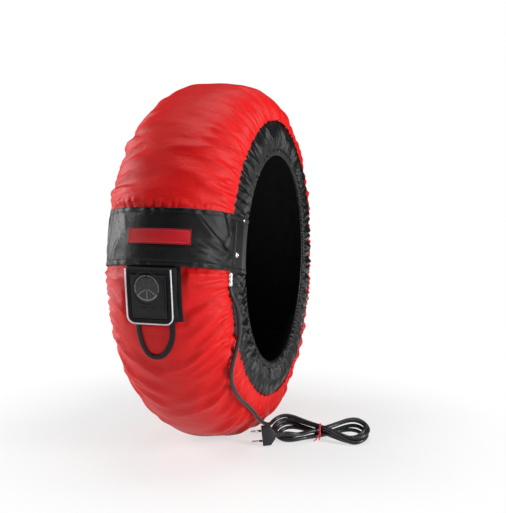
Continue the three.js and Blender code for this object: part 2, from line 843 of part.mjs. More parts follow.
// The lead runs down the seam, leaves the ring near the floor and ends at the hank.
const leadCourse = [
  [113, -259.5, 289], [115.4, -251.5, 276], [116.4, -245, 263], [116.8, -240.5, 249],
  [116.4, -238.4, 235], [115.2, -238.4, 221], [111.8, -241.6, 202], [106.4, -243.6, 180],
  [101.6, -240, 158], [99.6, -224, 134], [101.2, -196, 109], [103.8, -159, 87],
  [103.8, -123, 66.5], [102.6, -97, 48], [106.6, -74, 34],
];
const leadPoints = [
  new THREE.Vector3(ferrule.x, -ferrule.radius, ferruleEnd - sewnGap),
  new THREE.Vector3(ferrule.x, -ferrule.radius, ferruleEnd - sewnGap - 2 * cordRadius),
  ...leadCourse.map((point) => new THREE.Vector3(...point)),
  new THREE.Vector3(112.1, -56.4, 27),
];
add("cord_lead", tube(leadPoints, cordSteps), "rubber");

// Hank: a figure of eight, drawn in at the tie; each station is [along, half width, bottom, top].
const hankStations = [
  [-93, 8, 8, 26], [-86, 19, 2, 34], [-62, 28, 0, 41], [-34, 24, 0, 37], [-9, 13, 4, 27],
  [9, 13, 4, 26], [34, 25, 0, 30], [62, 35, 0, 34], [84, 25, 2, 30], [93, 10, 7, 21],
];

function hankSection(halfWidth, bottom, top, grow = 0) {
  const cut = Math.min(halfWidth, (top - bottom) / 2) * 0.5;
  const w = halfWidth + grow;
  const low = bottom - grow;
  const high = top + grow;
  return [
    [-w, low + cut], [-w, high - cut], [-w + cut, high], [w - cut, high],
    [w, high - cut], [w, low + cut], [w - cut, low], [-w + cut, low],
  ];
}

const hank = new THREE.Group();
hank.position.copy(hankCentre);
hank.rotation.z = hankTurn;
warmer.add(hank);

add("cord_hank", loft(hankStations.map(([along, halfWidth, bottom, top]) => {
  const section = hankSection(halfWidth, bottom, top);
  return section.map(([y, z]) => new THREE.Vector3(along, y, z));
})), "rubber", hank);

// Tie: a twisted wire round the waist with two tails down the near side.
function cordTie() {
  const [, halfWidth, bottom, top] = hankStations[4];
  const grow = sewnGap + tieThickness / 2;
  const points = hankSection(halfWidth, bottom, top, grow).map(([y, z]) => new THREE.Vector3(0, y, z));
  const middle = (bottom + top) / 2;
  const normals = points.map((point) => new THREE.Vector3(0, point.y, point.z - middle).normalize());
  let body = solid(sweep(points, normals, oblong(tieWidth, tieThickness), true));
  const start = new THREE.Vector3(0, -halfWidth - grow, middle);
  for (const along of tieTails) {
    const end = new THREE.Vector3(along, -halfWidth - tailReach, tailHeight);
    const tail = [start, start.clone().lerp(end, 0.5).add(new THREE.Vector3(0, -3, 1)), end];
    const out = tail.map(() => new THREE.Vector3(0, -1, 0.3));
    body = body.add(solid(sweep(tail, out, oblong(tieWidth / 2, tieThickness))));
  }
  return geometryOf(body);
}

add("cord_tie", cordTie(), "tie", hank);

// Plug: X from its face to the cord, Z across the pins; it stands on its narrow edge.
const plug = new THREE.Group();
plug.position.copy(plugFace);
plug.rotation.set(0, -plugTilt, plugTurn, "ZYX");
plug.updateMatrixWorld();
warmer.add(plug);

function plugBody() {
  const w = plugWidth / 2;
  const rear = plugRearWidth / 2;
  const shape = new THREE.Shape();
  shape.moveTo(0, -w);
  shape.lineTo(plugLength * plugShoulder, -w);
  shape.lineTo(plugLength, -rear);
  shape.lineTo(plugLength, rear);
  shape.lineTo(plugLength * plugShoulder, w);
  shape.lineTo(0, w);
  const t = plugThickness / 2;
  const geometry = plate(shape, -t, t, 1);
  return geometry.rotateX(quarterTurn);
}

add("plug_body", plugBody(), "rubber", plug);

function plugPin() {
  const nose = pinRadius / 2;
  const shank = pinLength - 1.5 * nose;
  const profile = [[0, 0], [pinRadius, 0], [pinRadius, shank], [nose, pinLength], [0, pinLength]];
  const geometry = new THREE.LatheGeometry(profile.map(([x, y]) => new THREE.Vector2(x, y)), 8);
  return geometry.rotateZ(quarterTurn).translate(-sewnGap, 0, 0);
}

for (const [name, side] of [["lower", -1], ["upper", 1]]) {
  add(`plug_pin_${name}`, plugPin().translate(0, 0, (side * pinSpacing) / 2), "steel", plug);
}

// Boot: a ringed taper from the plug's rear to the cord.
function plugBoot() {
  const profile = [new THREE.Vector2(0, 0)];
  const steps = 2 * bootRibs;
  for (let i = 0; i <= steps; i += 1) {
    const taper = THREE.MathUtils.lerp(bootRadius, bootEndRadius, i / steps);
    profile.push(new THREE.Vector2(taper - (i % 2) * ribStep, (bootLength * i) / steps));
  }
  profile.push(new THREE.Vector2(0, bootLength));
  const geometry = new THREE.LatheGeometry(profile, 8);
  return geometry.rotateZ(-quarterTurn).translate(plugLength + sewnGap, 0, 0);
}

add("plug_boot", plugBoot(), "rubber", plug);

// The tail joins the boot to the near side of the hank.
const bootEnd = plugLength + bootLength + 2 * sewnGap;
const tailCourse = [[164.5, -81.5, 20.5], [172, -75, 18.5], [180.2, -59.9, 16.8]];
const tailPoints = [
  plug.localToWorld(new THREE.Vector3(bootEnd, 0, 0)),
  plug.localToWorld(new THREE.Vector3(bootEnd + 2 * cordRadius, 0, 0)),
  ...tailCourse.map((point) => new THREE.Vector3(...point)),
];
add("cord_tail", tube(tailPoints, 5), "rubber");

export default warmer;
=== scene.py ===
"""Looks of a motorcycle tyre warmer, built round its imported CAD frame. Metres, +Z up.

The ring's axis runs along X at RING_Z. Angles count up from the front (-Y). On the ring's cloth,
w is the distance along its section from the middle of the tread, to the right if positive, and
across is the distance up the cloth from the closure's middle line.
"""

import json
import math

import bpy
import numpy as np
from mathutils import Matrix, Vector

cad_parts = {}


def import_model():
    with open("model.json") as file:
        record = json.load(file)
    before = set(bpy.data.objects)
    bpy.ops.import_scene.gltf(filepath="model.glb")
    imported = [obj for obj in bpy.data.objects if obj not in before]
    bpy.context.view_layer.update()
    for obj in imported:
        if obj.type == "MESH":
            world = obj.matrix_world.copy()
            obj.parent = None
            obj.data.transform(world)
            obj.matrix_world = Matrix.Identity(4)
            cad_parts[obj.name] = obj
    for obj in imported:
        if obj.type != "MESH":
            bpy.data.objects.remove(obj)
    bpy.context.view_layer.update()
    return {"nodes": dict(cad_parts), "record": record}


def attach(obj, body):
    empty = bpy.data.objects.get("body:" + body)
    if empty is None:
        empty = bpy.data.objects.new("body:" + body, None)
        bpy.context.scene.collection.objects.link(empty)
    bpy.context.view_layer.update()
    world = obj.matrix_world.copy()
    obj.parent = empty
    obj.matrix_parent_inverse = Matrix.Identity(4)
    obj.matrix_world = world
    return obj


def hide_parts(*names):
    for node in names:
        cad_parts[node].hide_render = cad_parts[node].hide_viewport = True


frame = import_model()
rng = np.random.default_rng(11)
MM = 0.001

# Ring, as in the CAD model
RING_Z = frame["record"]["mounts"][1]["pos_m"][2]
CROWN_R, CROWN_W, SEAM_R = 0.325, 0.106, 0.257
CROWN_POWER, SHOULDER_POWER = 2.4, 1.65
SKIRT_R, SKIRT_W = 0.226, 0.114
HEM_R, HEM_W = 0.194, 0.110
SAG, SAG_POWER = 0.014, 6
CLOSURE = math.radians(10.4)
GAP = 0.004
FLAP_HALF, FLAP_STITCH = 0.046, 0.0072
MEAN_R = 0.291
LAP = 2 * math.pi * MEAN_R
UV_R = 0.3

# Pouch
POUCH_X = 0.0015
PANEL_HALF, PANEL_DROP, PANEL_STITCH = 0.046, 0.091, 0.0068
FLAP_EDGE = CLOSURE - FLAP_HALF / CROWN_R
POUCH_ANGLE = FLAP_EDGE - PANEL_DROP / 2 / CROWN_R
POUCH_HALF, POUCH_LOW, POUCH_HIGH = 0.0383, -0.0441, 0.0435
POUCH_CORNER = 0.012
DIAL = (-0.0025, 0.013)

# Cord
CORD_D = 0.007


# Small helpers

def smooth(value, low, high):
    t = np.clip((value - low) / (high - low), 0, 1)
    return t * t * (3 - 2 * t)


def ring_point(x, radius, angle):
    return np.stack(np.broadcast_arrays(x, -radius * np.cos(angle), RING_Z + radius * np.sin(angle)), -1)


def bell(offset, width):
    return np.exp(-(offset / width) ** 2)


def circle(sides):
    """Angles once round, without the last one."""
    return np.linspace(0, 2 * math.pi, sides, endpoint=False)


def unit(vectors):
    return vectors / np.maximum(np.linalg.norm(vectors, axis=-1, keepdims=True), 1e-12)


CROWN_STEPS, SKIRT_STEPS = 1200, 300


def section_table():
    """The ring's section from the tread's middle over the right seam to the right hem, by distance w."""
    s = np.linspace(0, 1, CROWN_STEPS)
    turn = (1 - s) * math.pi / 2
    across = np.cos(turn) ** (2 / CROWN_POWER)
    up = np.sin(turn) ** (2 / SHOULDER_POWER)
    x = CROWN_W * across
    r = SEAM_R + (CROWN_R - SEAM_R) * up
    nx = CROWN_POWER / CROWN_W * across ** (CROWN_POWER - 1)
    nr = SHOULDER_POWER / (CROWN_R - SEAM_R) * up ** (SHOULDER_POWER - 1)
    t = np.linspace(0, 1, SKIRT_STEPS)[1:]
    skirt_r = SEAM_R + (HEM_R - SEAM_R) * t
    skirt_x = np.interp(-skirt_r, [-SEAM_R, -SKIRT_R, -HEM_R], [CROWN_W, SKIRT_W, HEM_W])
    slope = np.interp(skirt_r, [HEM_R, SKIRT_R - 0.006, SKIRT_R + 0.006, SEAM_R],
                      [-0.125, -0.1, 0.22, 0.258])
    x, r = np.concatenate([x, skirt_x]), np.concatenate([r, skirt_r])
    nx, nr = np.concatenate([nx, np.ones(len(t))]), np.concatenate([nr, slope])
    size = np.hypot(nx, nr)
    w = np.concatenate([[0], np.cumsum(np.hypot(np.diff(x), np.diff(r)))])
    return {"w": w, "x": x, "r": r, "nx": nx / size, "nr": nr / size,
            "up": np.concatenate([up, np.zeros(len(t))])}


SECTION = section_table()
SEAM = SECTION["w"][CROWN_STEPS - 1]
HEM = SECTION["w"][-1]


def along(w, key):
    return np.interp(np.abs(w), SECTION["w"], SECTION[key])


def w_of_x(x):
    """w on the crown at a distance x from the middle plane."""
    return np.sign(x) * np.interp(np.abs(x), SECTION["x"][:CROWN_STEPS], SECTION["w"][:CROWN_STEPS])


def surface(w, angle, lift=0.0):
    """Points of the ring's cloth, raised by lift over its smooth form and kept over the floor."""
    sag = ((1 + np.cos(angle + math.pi / 2)) / 2) ** SAG_POWER  # most at the lowest point
    r = along(w, "r") + SAG * along(w, "up") * sag + along(w, "nr") * lift
    points = ring_point(np.sign(w) * (along(w, "x") + along(w, "nx") * lift), r, angle)
    points[..., 2] = np.maximum(points[..., 2], np.maximum(-lift, 0))
    return points


def cloth_angle(w, across):
    return CLOSURE + across / along(w, "r")


def normal_at(w, angle):
    nx, nr = np.sign(w) * along(w, "nx"), along(w, "nr")
    return np.stack(np.broadcast_arrays(nx, -nr * np.cos(angle), nr * np.sin(angle)), -1)


def strip_angles(steps):
    """Angles once round the ring, from just above the closure's gap to just below it, as a column."""
    first = CLOSURE + GAP / 2 / CROWN_R
    return np.linspace(first, first + 2 * math.pi - GAP / CROWN_R, steps)[:, None]


def spread(count, jitter, lap):
    """Places about evenly round a lap, one random draw each."""
    for i in range(count):
        yield (i + 0.5 + jitter * rng.uniform(-1, 1)) / count * lap


def pair_grid(u, v):
    return np.stack(np.broadcast_arrays(u, v), -1)


def distances(path):
    """Distance along a path at each of its points."""
    return np.concatenate([[0], np.cumsum(np.linalg.norm(np.diff(path, axis=0), axis=1))])


def look_up(at, distance, values):
    """Rows of values at the given distances."""
    return np.stack([np.interp(at, distance, values[:, k]) for k in range(3)], -1)


def in_metres(pairs):
    return [(a * MM, b * MM) for a, b in pairs]


def relief(creases, w, q, lap=None):
    """Height of the creases at w and q. Each is [w, q, slant, half length, half width, height]:
    a ridge with a shallower valley beside it."""
    total = np.zeros(np.broadcast(w, q).shape)
    w, q = np.broadcast_to(w, total.shape), np.broadcast_to(q, total.shape)
    for w0, q0, slant, length, width, height in creases:
        dq = q - q0
        if lap:
            dq = (dq + lap / 2) % lap - lap / 2
        near = np.abs(dq).min(axis=1) < length * abs(math.sin(slant)) + 4 * width
        dw, dq = w[near] - w0, dq[near]
        on = dw * math.cos(slant) + dq * math.sin(slant)
        off = (dq * math.cos(slant) - dw * math.sin(slant)) / width
        shape = np.exp(-np.abs(off) ** 1.5) - 0.55 * bell(off - 1.8, 0.9)
        total[near] += height * np.exp(-(on / length) ** 4) * shape
    return total


def waves(angle, w, parts):
    """A sum of slow waves: each part is [laps, phase, shift per metre of w, height]."""
    return sum(h * np.cos(n * angle + phase + shift * w) for n, phase, shift, h in parts)


# Materials

def shade(colour, factor):
    return tuple(min(1.0, c * factor) for c in colour)


def add_node(tree, kind, inputs=None, **settings):
    """A node with its settings; an input is linked if it is given a socket, and set otherwise."""
    node = tree.nodes.new(kind)
    for key, value in settings.items():
        setattr(node, key, value)
    for key, value in (inputs or {}).items():
        if isinstance(value, bpy.types.NodeSocket):
            tree.links.new(value, node.inputs[key])
        else:
            node.inputs[key].default_value = value
    return node


class Surface:
    """A Principled material built up from procedural nodes."""

    def __init__(self, name, colour, roughness, **sockets):
        self.colour = colour
        self.material = bpy.data.materials.new(name)
        self.material.use_nodes = True
        self.nodes = self.material.node_tree.nodes
        self.links = self.material.node_tree.links
        self.shader = self.nodes["Principled BSDF"]
        self.shader.inputs["Base Color"].default_value = (*colour, 1)
        self.shader.inputs["Roughness"].default_value = roughness
        self.material.diffuse_color = (*colour, 1)
        for socket, value in sockets.items():
            self.shader.inputs[socket.replace("_", " ")].default_value = value
        self.place = self.nodes.new("ShaderNodeTexCoord")

    def node(self, kind, inputs=None, **settings):
        return add_node(self.material.node_tree, kind, inputs, **settings)

    def noise(self, scale, detail=3):
        return self.node("ShaderNodeTexNoise", {
            "Vector": self.place.outputs["Object"], "Scale": scale, "Detail": detail, "Roughness": 0.5,
        }).outputs["Fac"]

    def math(self, operation, a, b):
        return self.node("ShaderNodeMath", {0: a, 1: b}, operation=operation).outputs[0]

    def bands(self, pitch, direction):
        """Bands of the given pitch in metres across U (X) or V (Y)."""
        return self.node("ShaderNodeTexWave", {
            "Vector": self.place.outputs["UV"], "Scale": math.pi / 10 / pitch, "Distortion": 0.0,
        }, bands_direction=direction).outputs["Fac"]

    def weave(self, pitch):
        return self.math("MULTIPLY", self.bands(pitch, "X"), self.bands(pitch, "Y"))

    def tint(self, fac, *stops):
        """A colour that follows fac; each of the two stops is [place, factor on the colour]."""
        node = self.node("ShaderNodeValToRGB", {"Fac": fac})
        for element, (position, factor) in zip(node.color_ramp.elements, stops):
            element.position = position
            element.color = (*shade(self.colour, factor), 1)
        self.links.new(node.outputs["Color"], self.shader.inputs["Base Color"])

    def shine(self, fac, low, high):
        ranged = self.node("ShaderNodeMapRange", {"Value": fac, "To Min": low, "To Max": high})
        self.links.new(ranged.outputs["Result"], self.shader.inputs["Roughness"])

    def bump(self, height, depth, strength=1.0):
        before = self.shader.inputs["Normal"].links
        node = self.node("ShaderNodeBump", {"Height": height, "Distance": depth, "Strength": strength})
        if before:
            self.links.new(before[0].from_socket, node.inputs["Normal"])
        self.links.new(node.outputs["Normal"], self.shader.inputs["Normal"])


def nylon(name, colour, roughness, tone, specular, crinkle=0.0):
    """Coated cloth; tone is how far its colour varies, crinkle the depth of its fine wrinkles along V."""
    s = Surface(name, colour, roughness, Specular_IOR_Level=specular)
    s.tint(s.noise(9, 5), (0.3, 1 - tone), (0.7, 1 + tone))
    s.shine(s.noise(35, 4), roughness - 0.05, roughness + 0.06)
    s.bump(s.weave(0.0006), 0.00012, 0.6)
    s.bump(s.noise(110, 5), 0.0016, 0.35)
    if crinkle:
        drawn = s.node("ShaderNodeMapping", {"Vector": s.place.outputs["UV"], "Scale": (1.0, 0.26, 1.0)})
        fine = s.node("ShaderNodeTexNoise", {"Vector": drawn.outputs["Vector"], "Scale": 95.0, "Detail": 3.0,
                                             "Roughness": 0.5, "Distortion": 0.6})
        s.bump(fine.outputs["Fac"], crinkle, 0.8)
    return s.material


def moulded(name, colour, roughness, grain=900, depth=0.00008, specular=0.5):
    s = Surface(name, colour, roughness, Specular_IOR_Level=specular)
    s.tint(s.noise(22, 4), (0.3, 0.85), (0.7, 1.2))
    s.shine(s.noise(60, 5), roughness - 0.06, roughness + 0.08)
    s.bump(s.noise(grain, 3), depth, 0.5)
    return s.material


def woven(name, colour, roughness, pitch, depth, specular):
    s = Surface(name, colour, roughness, Specular_IOR_Level=specular)
    s.tint(s.weave(pitch), (0.0, 0.7), (1.0, 1.35))
    s.bump(s.weave(pitch), depth, 0.8)
    s.bump(s.noise(300, 3), depth, 0.3)
    return s.material


def felt(name, colour):
    s = Surface(name, colour, 0.95, Sheen_Weight=0.3)
    s.tint(s.noise(240, 6), (0.35, 0.75), (0.65, 1.15))
    s.bump(s.noise(420, 6), 0.0008, 0.8)
    return s.material


def plated(name, colour, roughness):
    s = Surface(name, colour, roughness, Metallic=1.0)
    s.shine(s.noise(140, 5), roughness - 0.05, roughness + 0.12)
    s.bump(s.noise(700, 3), 0.00003, 0.4)
    return s.material


RED = (0.62, 0.006, 0.006)
BLACK = (0.0035, 0.0038, 0.0045)
# Each row: [maker, name, and what the maker takes after the name]
FINISHES = [
    (nylon, "red_nylon", RED, 0.44, 0.06, 0.22, 0.0013),
    (nylon, "black_nylon", BLACK, 0.36, 0.2, 0.26),
    (nylon, "skirt_nylon", shade(BLACK, 0.9), 0.36, 0.2, 0.32, 0.002),
    (woven, "pouch_cloth", (0.006, 0.0065, 0.0075), 0.62, 0.0011, 0.0002, 0.22),
    (woven, "lining", (0.014, 0.0145, 0.016), 0.7, 0.0016, 0.0003, 0.2),
    (felt, "felt", (0.5, 0.48, 0.43)),
    (felt, "tape", (0.02, 0.02, 0.022)),
    (woven, "webbing", (0.009, 0.0095, 0.011), 0.6, 0.0015, 0.0005, 0.25),
    (moulded, "heater", (0.42, 0.16, 0.08), 0.45),
    (woven, "label", (0.62, 0.012, 0.02), 0.6, 0.0008, 0.0002, 0.2),
    (woven, "label_edge", (0.36, 0.008, 0.014), 0.6, 0.0009, 0.0004, 0.2),
    (moulded, "reflective", (0.78, 0.77, 0.86), 0.35, 1500, 0.0001),
    (moulded, "housing", (0.0045, 0.005, 0.006), 0.45, 900, 0.00008, 0.3),
    (moulded, "dial", (0.006, 0.006, 0.007), 0.22, 60, 0.00003),
    (moulded, "marks", (0.19, 0.195, 0.2), 0.5, 1500, 0.00003),
    (moulded, "dim_marks", (0.05, 0.052, 0.054), 0.5, 1500, 0.00003),
    (plated, "steel", (0.72, 0.73, 0.75), 0.22),
    (moulded, "rubber", (0.010, 0.011, 0.013), 0.36, 500),
    (moulded, "plug", (0.010, 0.011, 0.013), 0.48, 600, 0.00012),
    (moulded, "tie", (0.72, 0.03, 0.06), 0.35, 300),
    (moulded, "thread", (0.016, 0.017, 0.019), 0.7, 1500),
    (moulded, "red_thread", (0.75, 0.1, 0.12), 0.6, 1500),
]
MATERIALS = {name: make(name, *values) for make, name, *values in FINISHES}


# Meshes

def put(name, data):
    obj = bpy.data.objects.new(name, data)
    bpy.context.scene.collection.objects.link(obj)
    return obj


def piece(name, vertices, faces, material, slot, replaces=(), uv=None, flat_shaded=False):
    """A mesh piece that rides on the ring, with UV coordinates in metres where given."""
    mesh = bpy.data.meshes.new(name)
    mesh.from_pydata(np.asarray(vertices, float).tolist(), [], [tuple(map(int, f)) for f in faces])
    mesh.validate()
    if uv is not None:
        layer = mesh.uv_layers.new(name="UVMap")
        index = np.zeros(len(mesh.loops), np.int32)
        mesh.loops.foreach_get("vertex_index", index)
        layer.data.foreach_set("uv", np.asarray(uv, np.float32)[index].ravel())
    if not flat_shaded:
        mesh.polygons.foreach_set("use_smooth", np.ones(len(mesh.polygons), bool))
    mesh.materials.append(MATERIALS[material])
    obj = put(name, mesh)
    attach(obj, "root")
    if replaces:
        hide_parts(*replaces)
    return obj


def grid_faces(rows, columns, wrap_rows=False, wrap_columns=False, start=0):
    i = np.arange(rows if wrap_rows else rows - 1)
    j = np.arange(columns if wrap_columns else columns - 1)
    i, j = np.meshgrid(i, j, indexing="ij")
    a = i * columns + j
    b = i * columns + (j + 1) % columns
    c = ((i + 1) % rows) * columns + (j + 1) % columns
    d = ((i + 1) % rows) * columns + j
    return (np.stack([a, b, c, d], -1).reshape(-1, 4) + start).tolist()


def tube_faces(count, sides, start=0, caps=(True, True)):
    """Faces through count rings of sides points each, and over the ends that caps asks for."""
    last = start + (count - 1) * sides
    ends = [list(range(start, start + sides))[::-1], list(range(last, last + sides))]
    faces = grid_faces(count, sides, wrap_columns=True, start=start)
    return faces + [end for end, wanted in zip(ends, caps) if wanted]


def sheet_piece(name, points, uv, material, slot, replaces=(), flip=False, thickness=0.0):
    """A piece of cloth from a grid of points; thickness goes in behind it."""
    faces = grid_faces(*points.shape[:2])
    if flip:
        faces = [f[::-1] for f in faces]
    obj = piece(name, points.reshape(-1, 3), faces, material, slot, replaces, uv.reshape(-1, 2))
    if thickness:
        solid = obj.modifiers.new("thickness", "SOLIDIFY")
        solid.thickness = thickness
        solid.offset = -1
    return obj


def rings_piece(name, rings, material, slot, replaces=(), caps=(True, True), **more):
    """A solid through rings of equal point count, with flat or pointed ends."""
    rings = np.asarray(rings, float)
    faces = tube_faces(*rings.shape[:2], caps=caps)
    uv = np.stack(np.meshgrid(distances(rings[:, 0]), distances(rings[0]), indexing="ij"), -1)
    return piece(name, rings.reshape(-1, 3), faces, material, slot, replaces, uv.reshape(-1, 2), **more)


def lathe(name, profile, place, material, slot, replaces=(), sides=32, caps=(True, True)):
    """Rings [radius, height] about the local Z axis of place."""
    turn = circle(sides)
    rings = [[place @ Vector((r * math.cos(t), r * math.sin(t), h)) for t in turn] for r, h in profile]
    return rings_piece(name, rings, material, slot, replaces, caps)


def sweep_rings(path, normals, section, scale=None):
    """Rings of a section of [side, up] pairs along a path."""
    tangent = unit(np.gradient(path, axis=0))
    side = unit(np.cross(normals, tangent))
    up = np.cross(tangent, side)
    section = np.asarray(section, float)
    scale = np.ones(len(path)) if scale is None else scale
    return (path[:, None]
            + side[:, None] * (section[None, :, 0:1] * scale[:, None, None])
            + up[:, None] * (section[None, :, 1:2] * scale[:, None, None]))


def round_section(radius, sides=12):
    turn = circle(sides)
    return np.stack([radius * np.cos(turn), radius * np.sin(turn)], -1)


def band_section(width, thickness, corner=5):
    """A flat section with round edges."""
    w, t = width / 2 - thickness / 2, thickness / 2
    turn = np.linspace(-math.pi / 2, math.pi / 2, corner)
    right = np.stack([w + t * np.cos(turn), t * np.sin(turn)], -1)
    left = np.stack([-w - t * np.cos(turn), -t * np.sin(turn)], -1)
    return np.concatenate([right, left])


def smooth_path(points, spacing=0.003):
    """A centripetal Catmull-Rom curve through points, resampled evenly."""
    p = np.asarray(points, float)
    p = np.concatenate([[2 * p[0] - p[1]], p, [2 * p[-1] - p[-2]]])
    dense = []
    for p0, p1, p2, p3 in zip(p[:-3], p[1:-2], p[2:-1], p[3:]):
        t0 = 0.0
        t1 = t0 + np.linalg.norm(p1 - p0) ** 0.5
        t2 = t1 + np.linalg.norm(p2 - p1) ** 0.5
        t3 = t2 + np.linalg.norm(p3 - p2) ** 0.5
        t = np.linspace(t1, t2, 14, endpoint=False)[:, None]
        a1 = (t1 - t) / (t1 - t0) * p0 + (t - t0) / (t1 - t0) * p1
        a2 = (t2 - t) / (t2 - t1) * p1 + (t - t1) / (t2 - t1) * p2
        a3 = (t3 - t) / (t3 - t2) * p2 + (t - t2) / (t3 - t2) * p3
        b1 = (t2 - t) / (t2 - t0) * a1 + (t - t0) / (t2 - t0) * a2
        b2 = (t3 - t) / (t3 - t1) * a2 + (t - t1) / (t3 - t1) * a3
        dense.append((t2 - t) / (t2 - t1) * b1 + (t - t1) / (t2 - t1) * b2)
    dense = np.concatenate(dense + [p[-2][None]])
    return resample(dense, spacing)


def resample(path, spacing):
    length = distances(path)
    steps = max(2, int(round(length[-1] / spacing)) + 1)
    return look_up(np.linspace(0, length[-1], steps), length, path)


def stitches(name, lines, material, slot, pitch=0.0042, length=0.003, radius=0.00032):
    """Sewn thread: one short capsule for each stitch along lines of [points, normals]."""
    verts, faces = [], []
    shape = [(-0.5, 0.25), (-0.32, 1.0), (0.32, 1.0), (0.5, 0.25)]
    turn = circle(6)
    for points, normals in lines:
        distance = distances(points)
        at = np.arange(pitch / 2, distance[-1], pitch)
        centre = look_up(at, distance, points)
        ahead = look_up(at + pitch / 4, distance, points)
        out = unit(look_up(at, distance, normals))
        run = unit(ahead - centre + 1e-9)
        side = np.cross(out, run)
        for c, o, r, s in zip(centre, out, run, side):
            start = len(verts)
            for shift, size in shape:
                for t in turn:
                    verts.append(c + r * shift * length + radius * size * (o * math.sin(t) + s * math.cos(t)))
            faces += tube_faces(len(shape), len(turn), start)
    return piece(name, verts, faces, material, slot)


# Camera: the photograph's angle

camera_data = bpy.data.cameras.new("camera")
camera_data.lens, camera_data.sensor_width = 62.04, 36
camera = put("camera", camera_data)
camera.location = (0.5761, -1.5928, 0.4759)
camera.rotation_euler = [math.radians(v) for v in (85.122, 0, 17.876)]
bpy.context.scene.camera = camera


# Cord: lead, hank and tail in one length

FERRULE = np.array([108.9, -263.4, 308.1]) * MM
LEAD = [
    (108.9, -263.4, 307.7), (108.9, -263.4, 300.7), (113, -259.5, 289), (115.4, -251.5, 276),
    (116.4, -245, 263), (116.8, -240.5, 249), (116.4, -238.4, 235), (115.2, -238.4, 221),
    (111.8, -241.6, 202), (106.4, -243.6, 180), (101.6, -240, 158), (99.6, -224, 134),
    (101.2, -196, 109), (103.8, -159, 87), (103.8, -123, 66.5), (102.6, -97, 48),
    (106.6, -74, 34), (112.1, -56.4, 27),
]
TAIL = [
    (180.2, -59.9, 16.8), (172, -75, 18.5), (164.5, -81.5, 20.5), (156.1, -86.2, 22.7), (149.5, -88.4, 22.0),
]
HANK_CENTRE, HANK_TURN = np.array([202, -30, 0]) * MM, math.radians(12)

# Each half loop of the hank: [reach, near half width, far half width, near z, end z, far z] in mm.
RIGHT_LOOPS = [
    (89, 28.0, 31.0, 10.4, 20.0, 31.5),
    (86.5, 31.5, 27.0, 3.6, 11.0, 20.5),
    (79.5, 24.5, 24.0, 3.6, 8.0, 12.5),
    (84, 21.5, 24.0, 10.4, 25.0, 31.0),
]
LEFT_LOOPS = [
    (89, 24.5, 24.5, 20.0, 27.0, 37.0),
    (86, 23.3, 22.5, 10.2, 19.0, 30.0),
    (83, 26.5, 24.0, 3.6, 11.5, 22.8),
    (77, 20.5, 20.5, 3.6, 7.0, 15.5),
]
# Height and sideways place of each pass under the tie.
WAIST = [
    (23.5, 3.5), (18.2, 3.5), (23.5, -3.5), (7.5, 3.5), (12.8, 3.5), (7.5, -3.5), (12.8, -3.5), (18.2, -3.5),
]


def hank_course():
    """Figure-of-eight turns from the left end to the last pass under the tie, in the hank's own frame."""
    heights = {4 * j: z for j, (z, _) in enumerate(WAIST)}
    for loops, first in [(RIGHT_LOOPS, 0), (LEFT_LOOPS, -4)]:
        for k, loop in enumerate(loops):
            for step, z in enumerate(loop[3:], 1):
                heights[8 * k + first + step] = z
    known = sorted(heights)
    points = []
    for phase in np.arange(-math.pi / 2 + 0.28, 7 * math.pi + 0.01, math.pi / 15):
        right = math.sin(phase) > 0 or abs(math.sin(phase)) < 1e-6
        loop = int(math.floor(phase / (2 * math.pi) + (0 if right else 0.5)))
        loop = min(max(loop, 0), 3)
        reach, near, far = (RIGHT_LOOPS if right else LEFT_LOOPS)[loop][:3]
        half = near if math.sin(2 * phase) > 0 else far
        u = reach * math.sin(phase)
        v = -half * math.sin(2 * phase)
        at = phase / (math.pi / 4)
        low = max(k for k in known if k <= at + 1e-9)
        high = min((k for k in known if k > low), default=low + 1)
        t = (at - low) / (high - low)
        t = t * t * (3 - 2 * t) * 0.55 + t * 0.45
        z = heights[low] + (heights.get(high, heights[low]) - heights[low]) * t
        j = min(max(int(round(phase / math.pi)), 0), 7)
        v += WAIST[j][1] * math.exp(-(u / 26) ** 2)
        points.append((u, v, z))
    return points


def from_hank(points):
    c, s = math.cos(HANK_TURN), math.sin(HANK_TURN)
    p = np.asarray(points, float) * MM
    return np.stack([p[:, 0] * c - p[:, 1] * s, p[:, 0] * s + p[:, 1] * c, p[:, 2]], -1) + HANK_CENTRE


def even_out(path, passes):
    for _ in range(passes):
        path[1:-1] = 0.25 * path[:-2] + 0.5 * path[1:-1] + 0.25 * path[2:]
    return path


LEAVING = (-13, -11, 18)
course = np.concatenate([np.array(LEAD) * MM, from_hank(hank_course() + [LEAVING]), np.array(TAIL) * MM])
cord_path = even_out(smooth_path(course, 0.003), 4)
cord_length = float(distances(cord_path)[-1])


def cord_piece():
    curve = bpy.data.curves.new("power_cord", "CURVE")
    curve.dimensions = "3D"
    curve.bevel_depth = CORD_D / 2
    curve.bevel_resolution = 4
    curve.use_fill_caps = True
    spline = curve.splines.new("POLY")
    spline.points.add(len(cord_path) - 1)
    spline.points.foreach_set("co", np.concatenate([cord_path, np.ones((len(cord_path), 1))], 1).ravel())
    spline.use_smooth = True
    curve.materials.append(MATERIALS["rubber"])
    obj = put("power_cord", curve)
    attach(obj, "root")
    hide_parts("cord_lead", "cord_hank", "cord_tail")
    return obj


cord = cord_piece()

# Ferrule: a crimped metal sleeve that narrows to the cord
ferrule_profile = [
    (0.0008, 22.0), (3.4, 22.0), (4.3, 21.2), (4.3, 17.2), (3.95, 16.6), (3.95, 15.9), (4.3, 15.3),
    (4.25, 11.0), (3.9, 10.4), (3.9, 9.7), (4.2, 9.1), (4.05, 3.2), (3.75, 0.6), (3.55, 0.05), (0.0008, 0.05),
]
ferrule = lathe("cord_sleeve", in_metres(ferrule_profile), Matrix.Translation(FERRULE), "steel", "steel",
                ["cord_ferrule"])

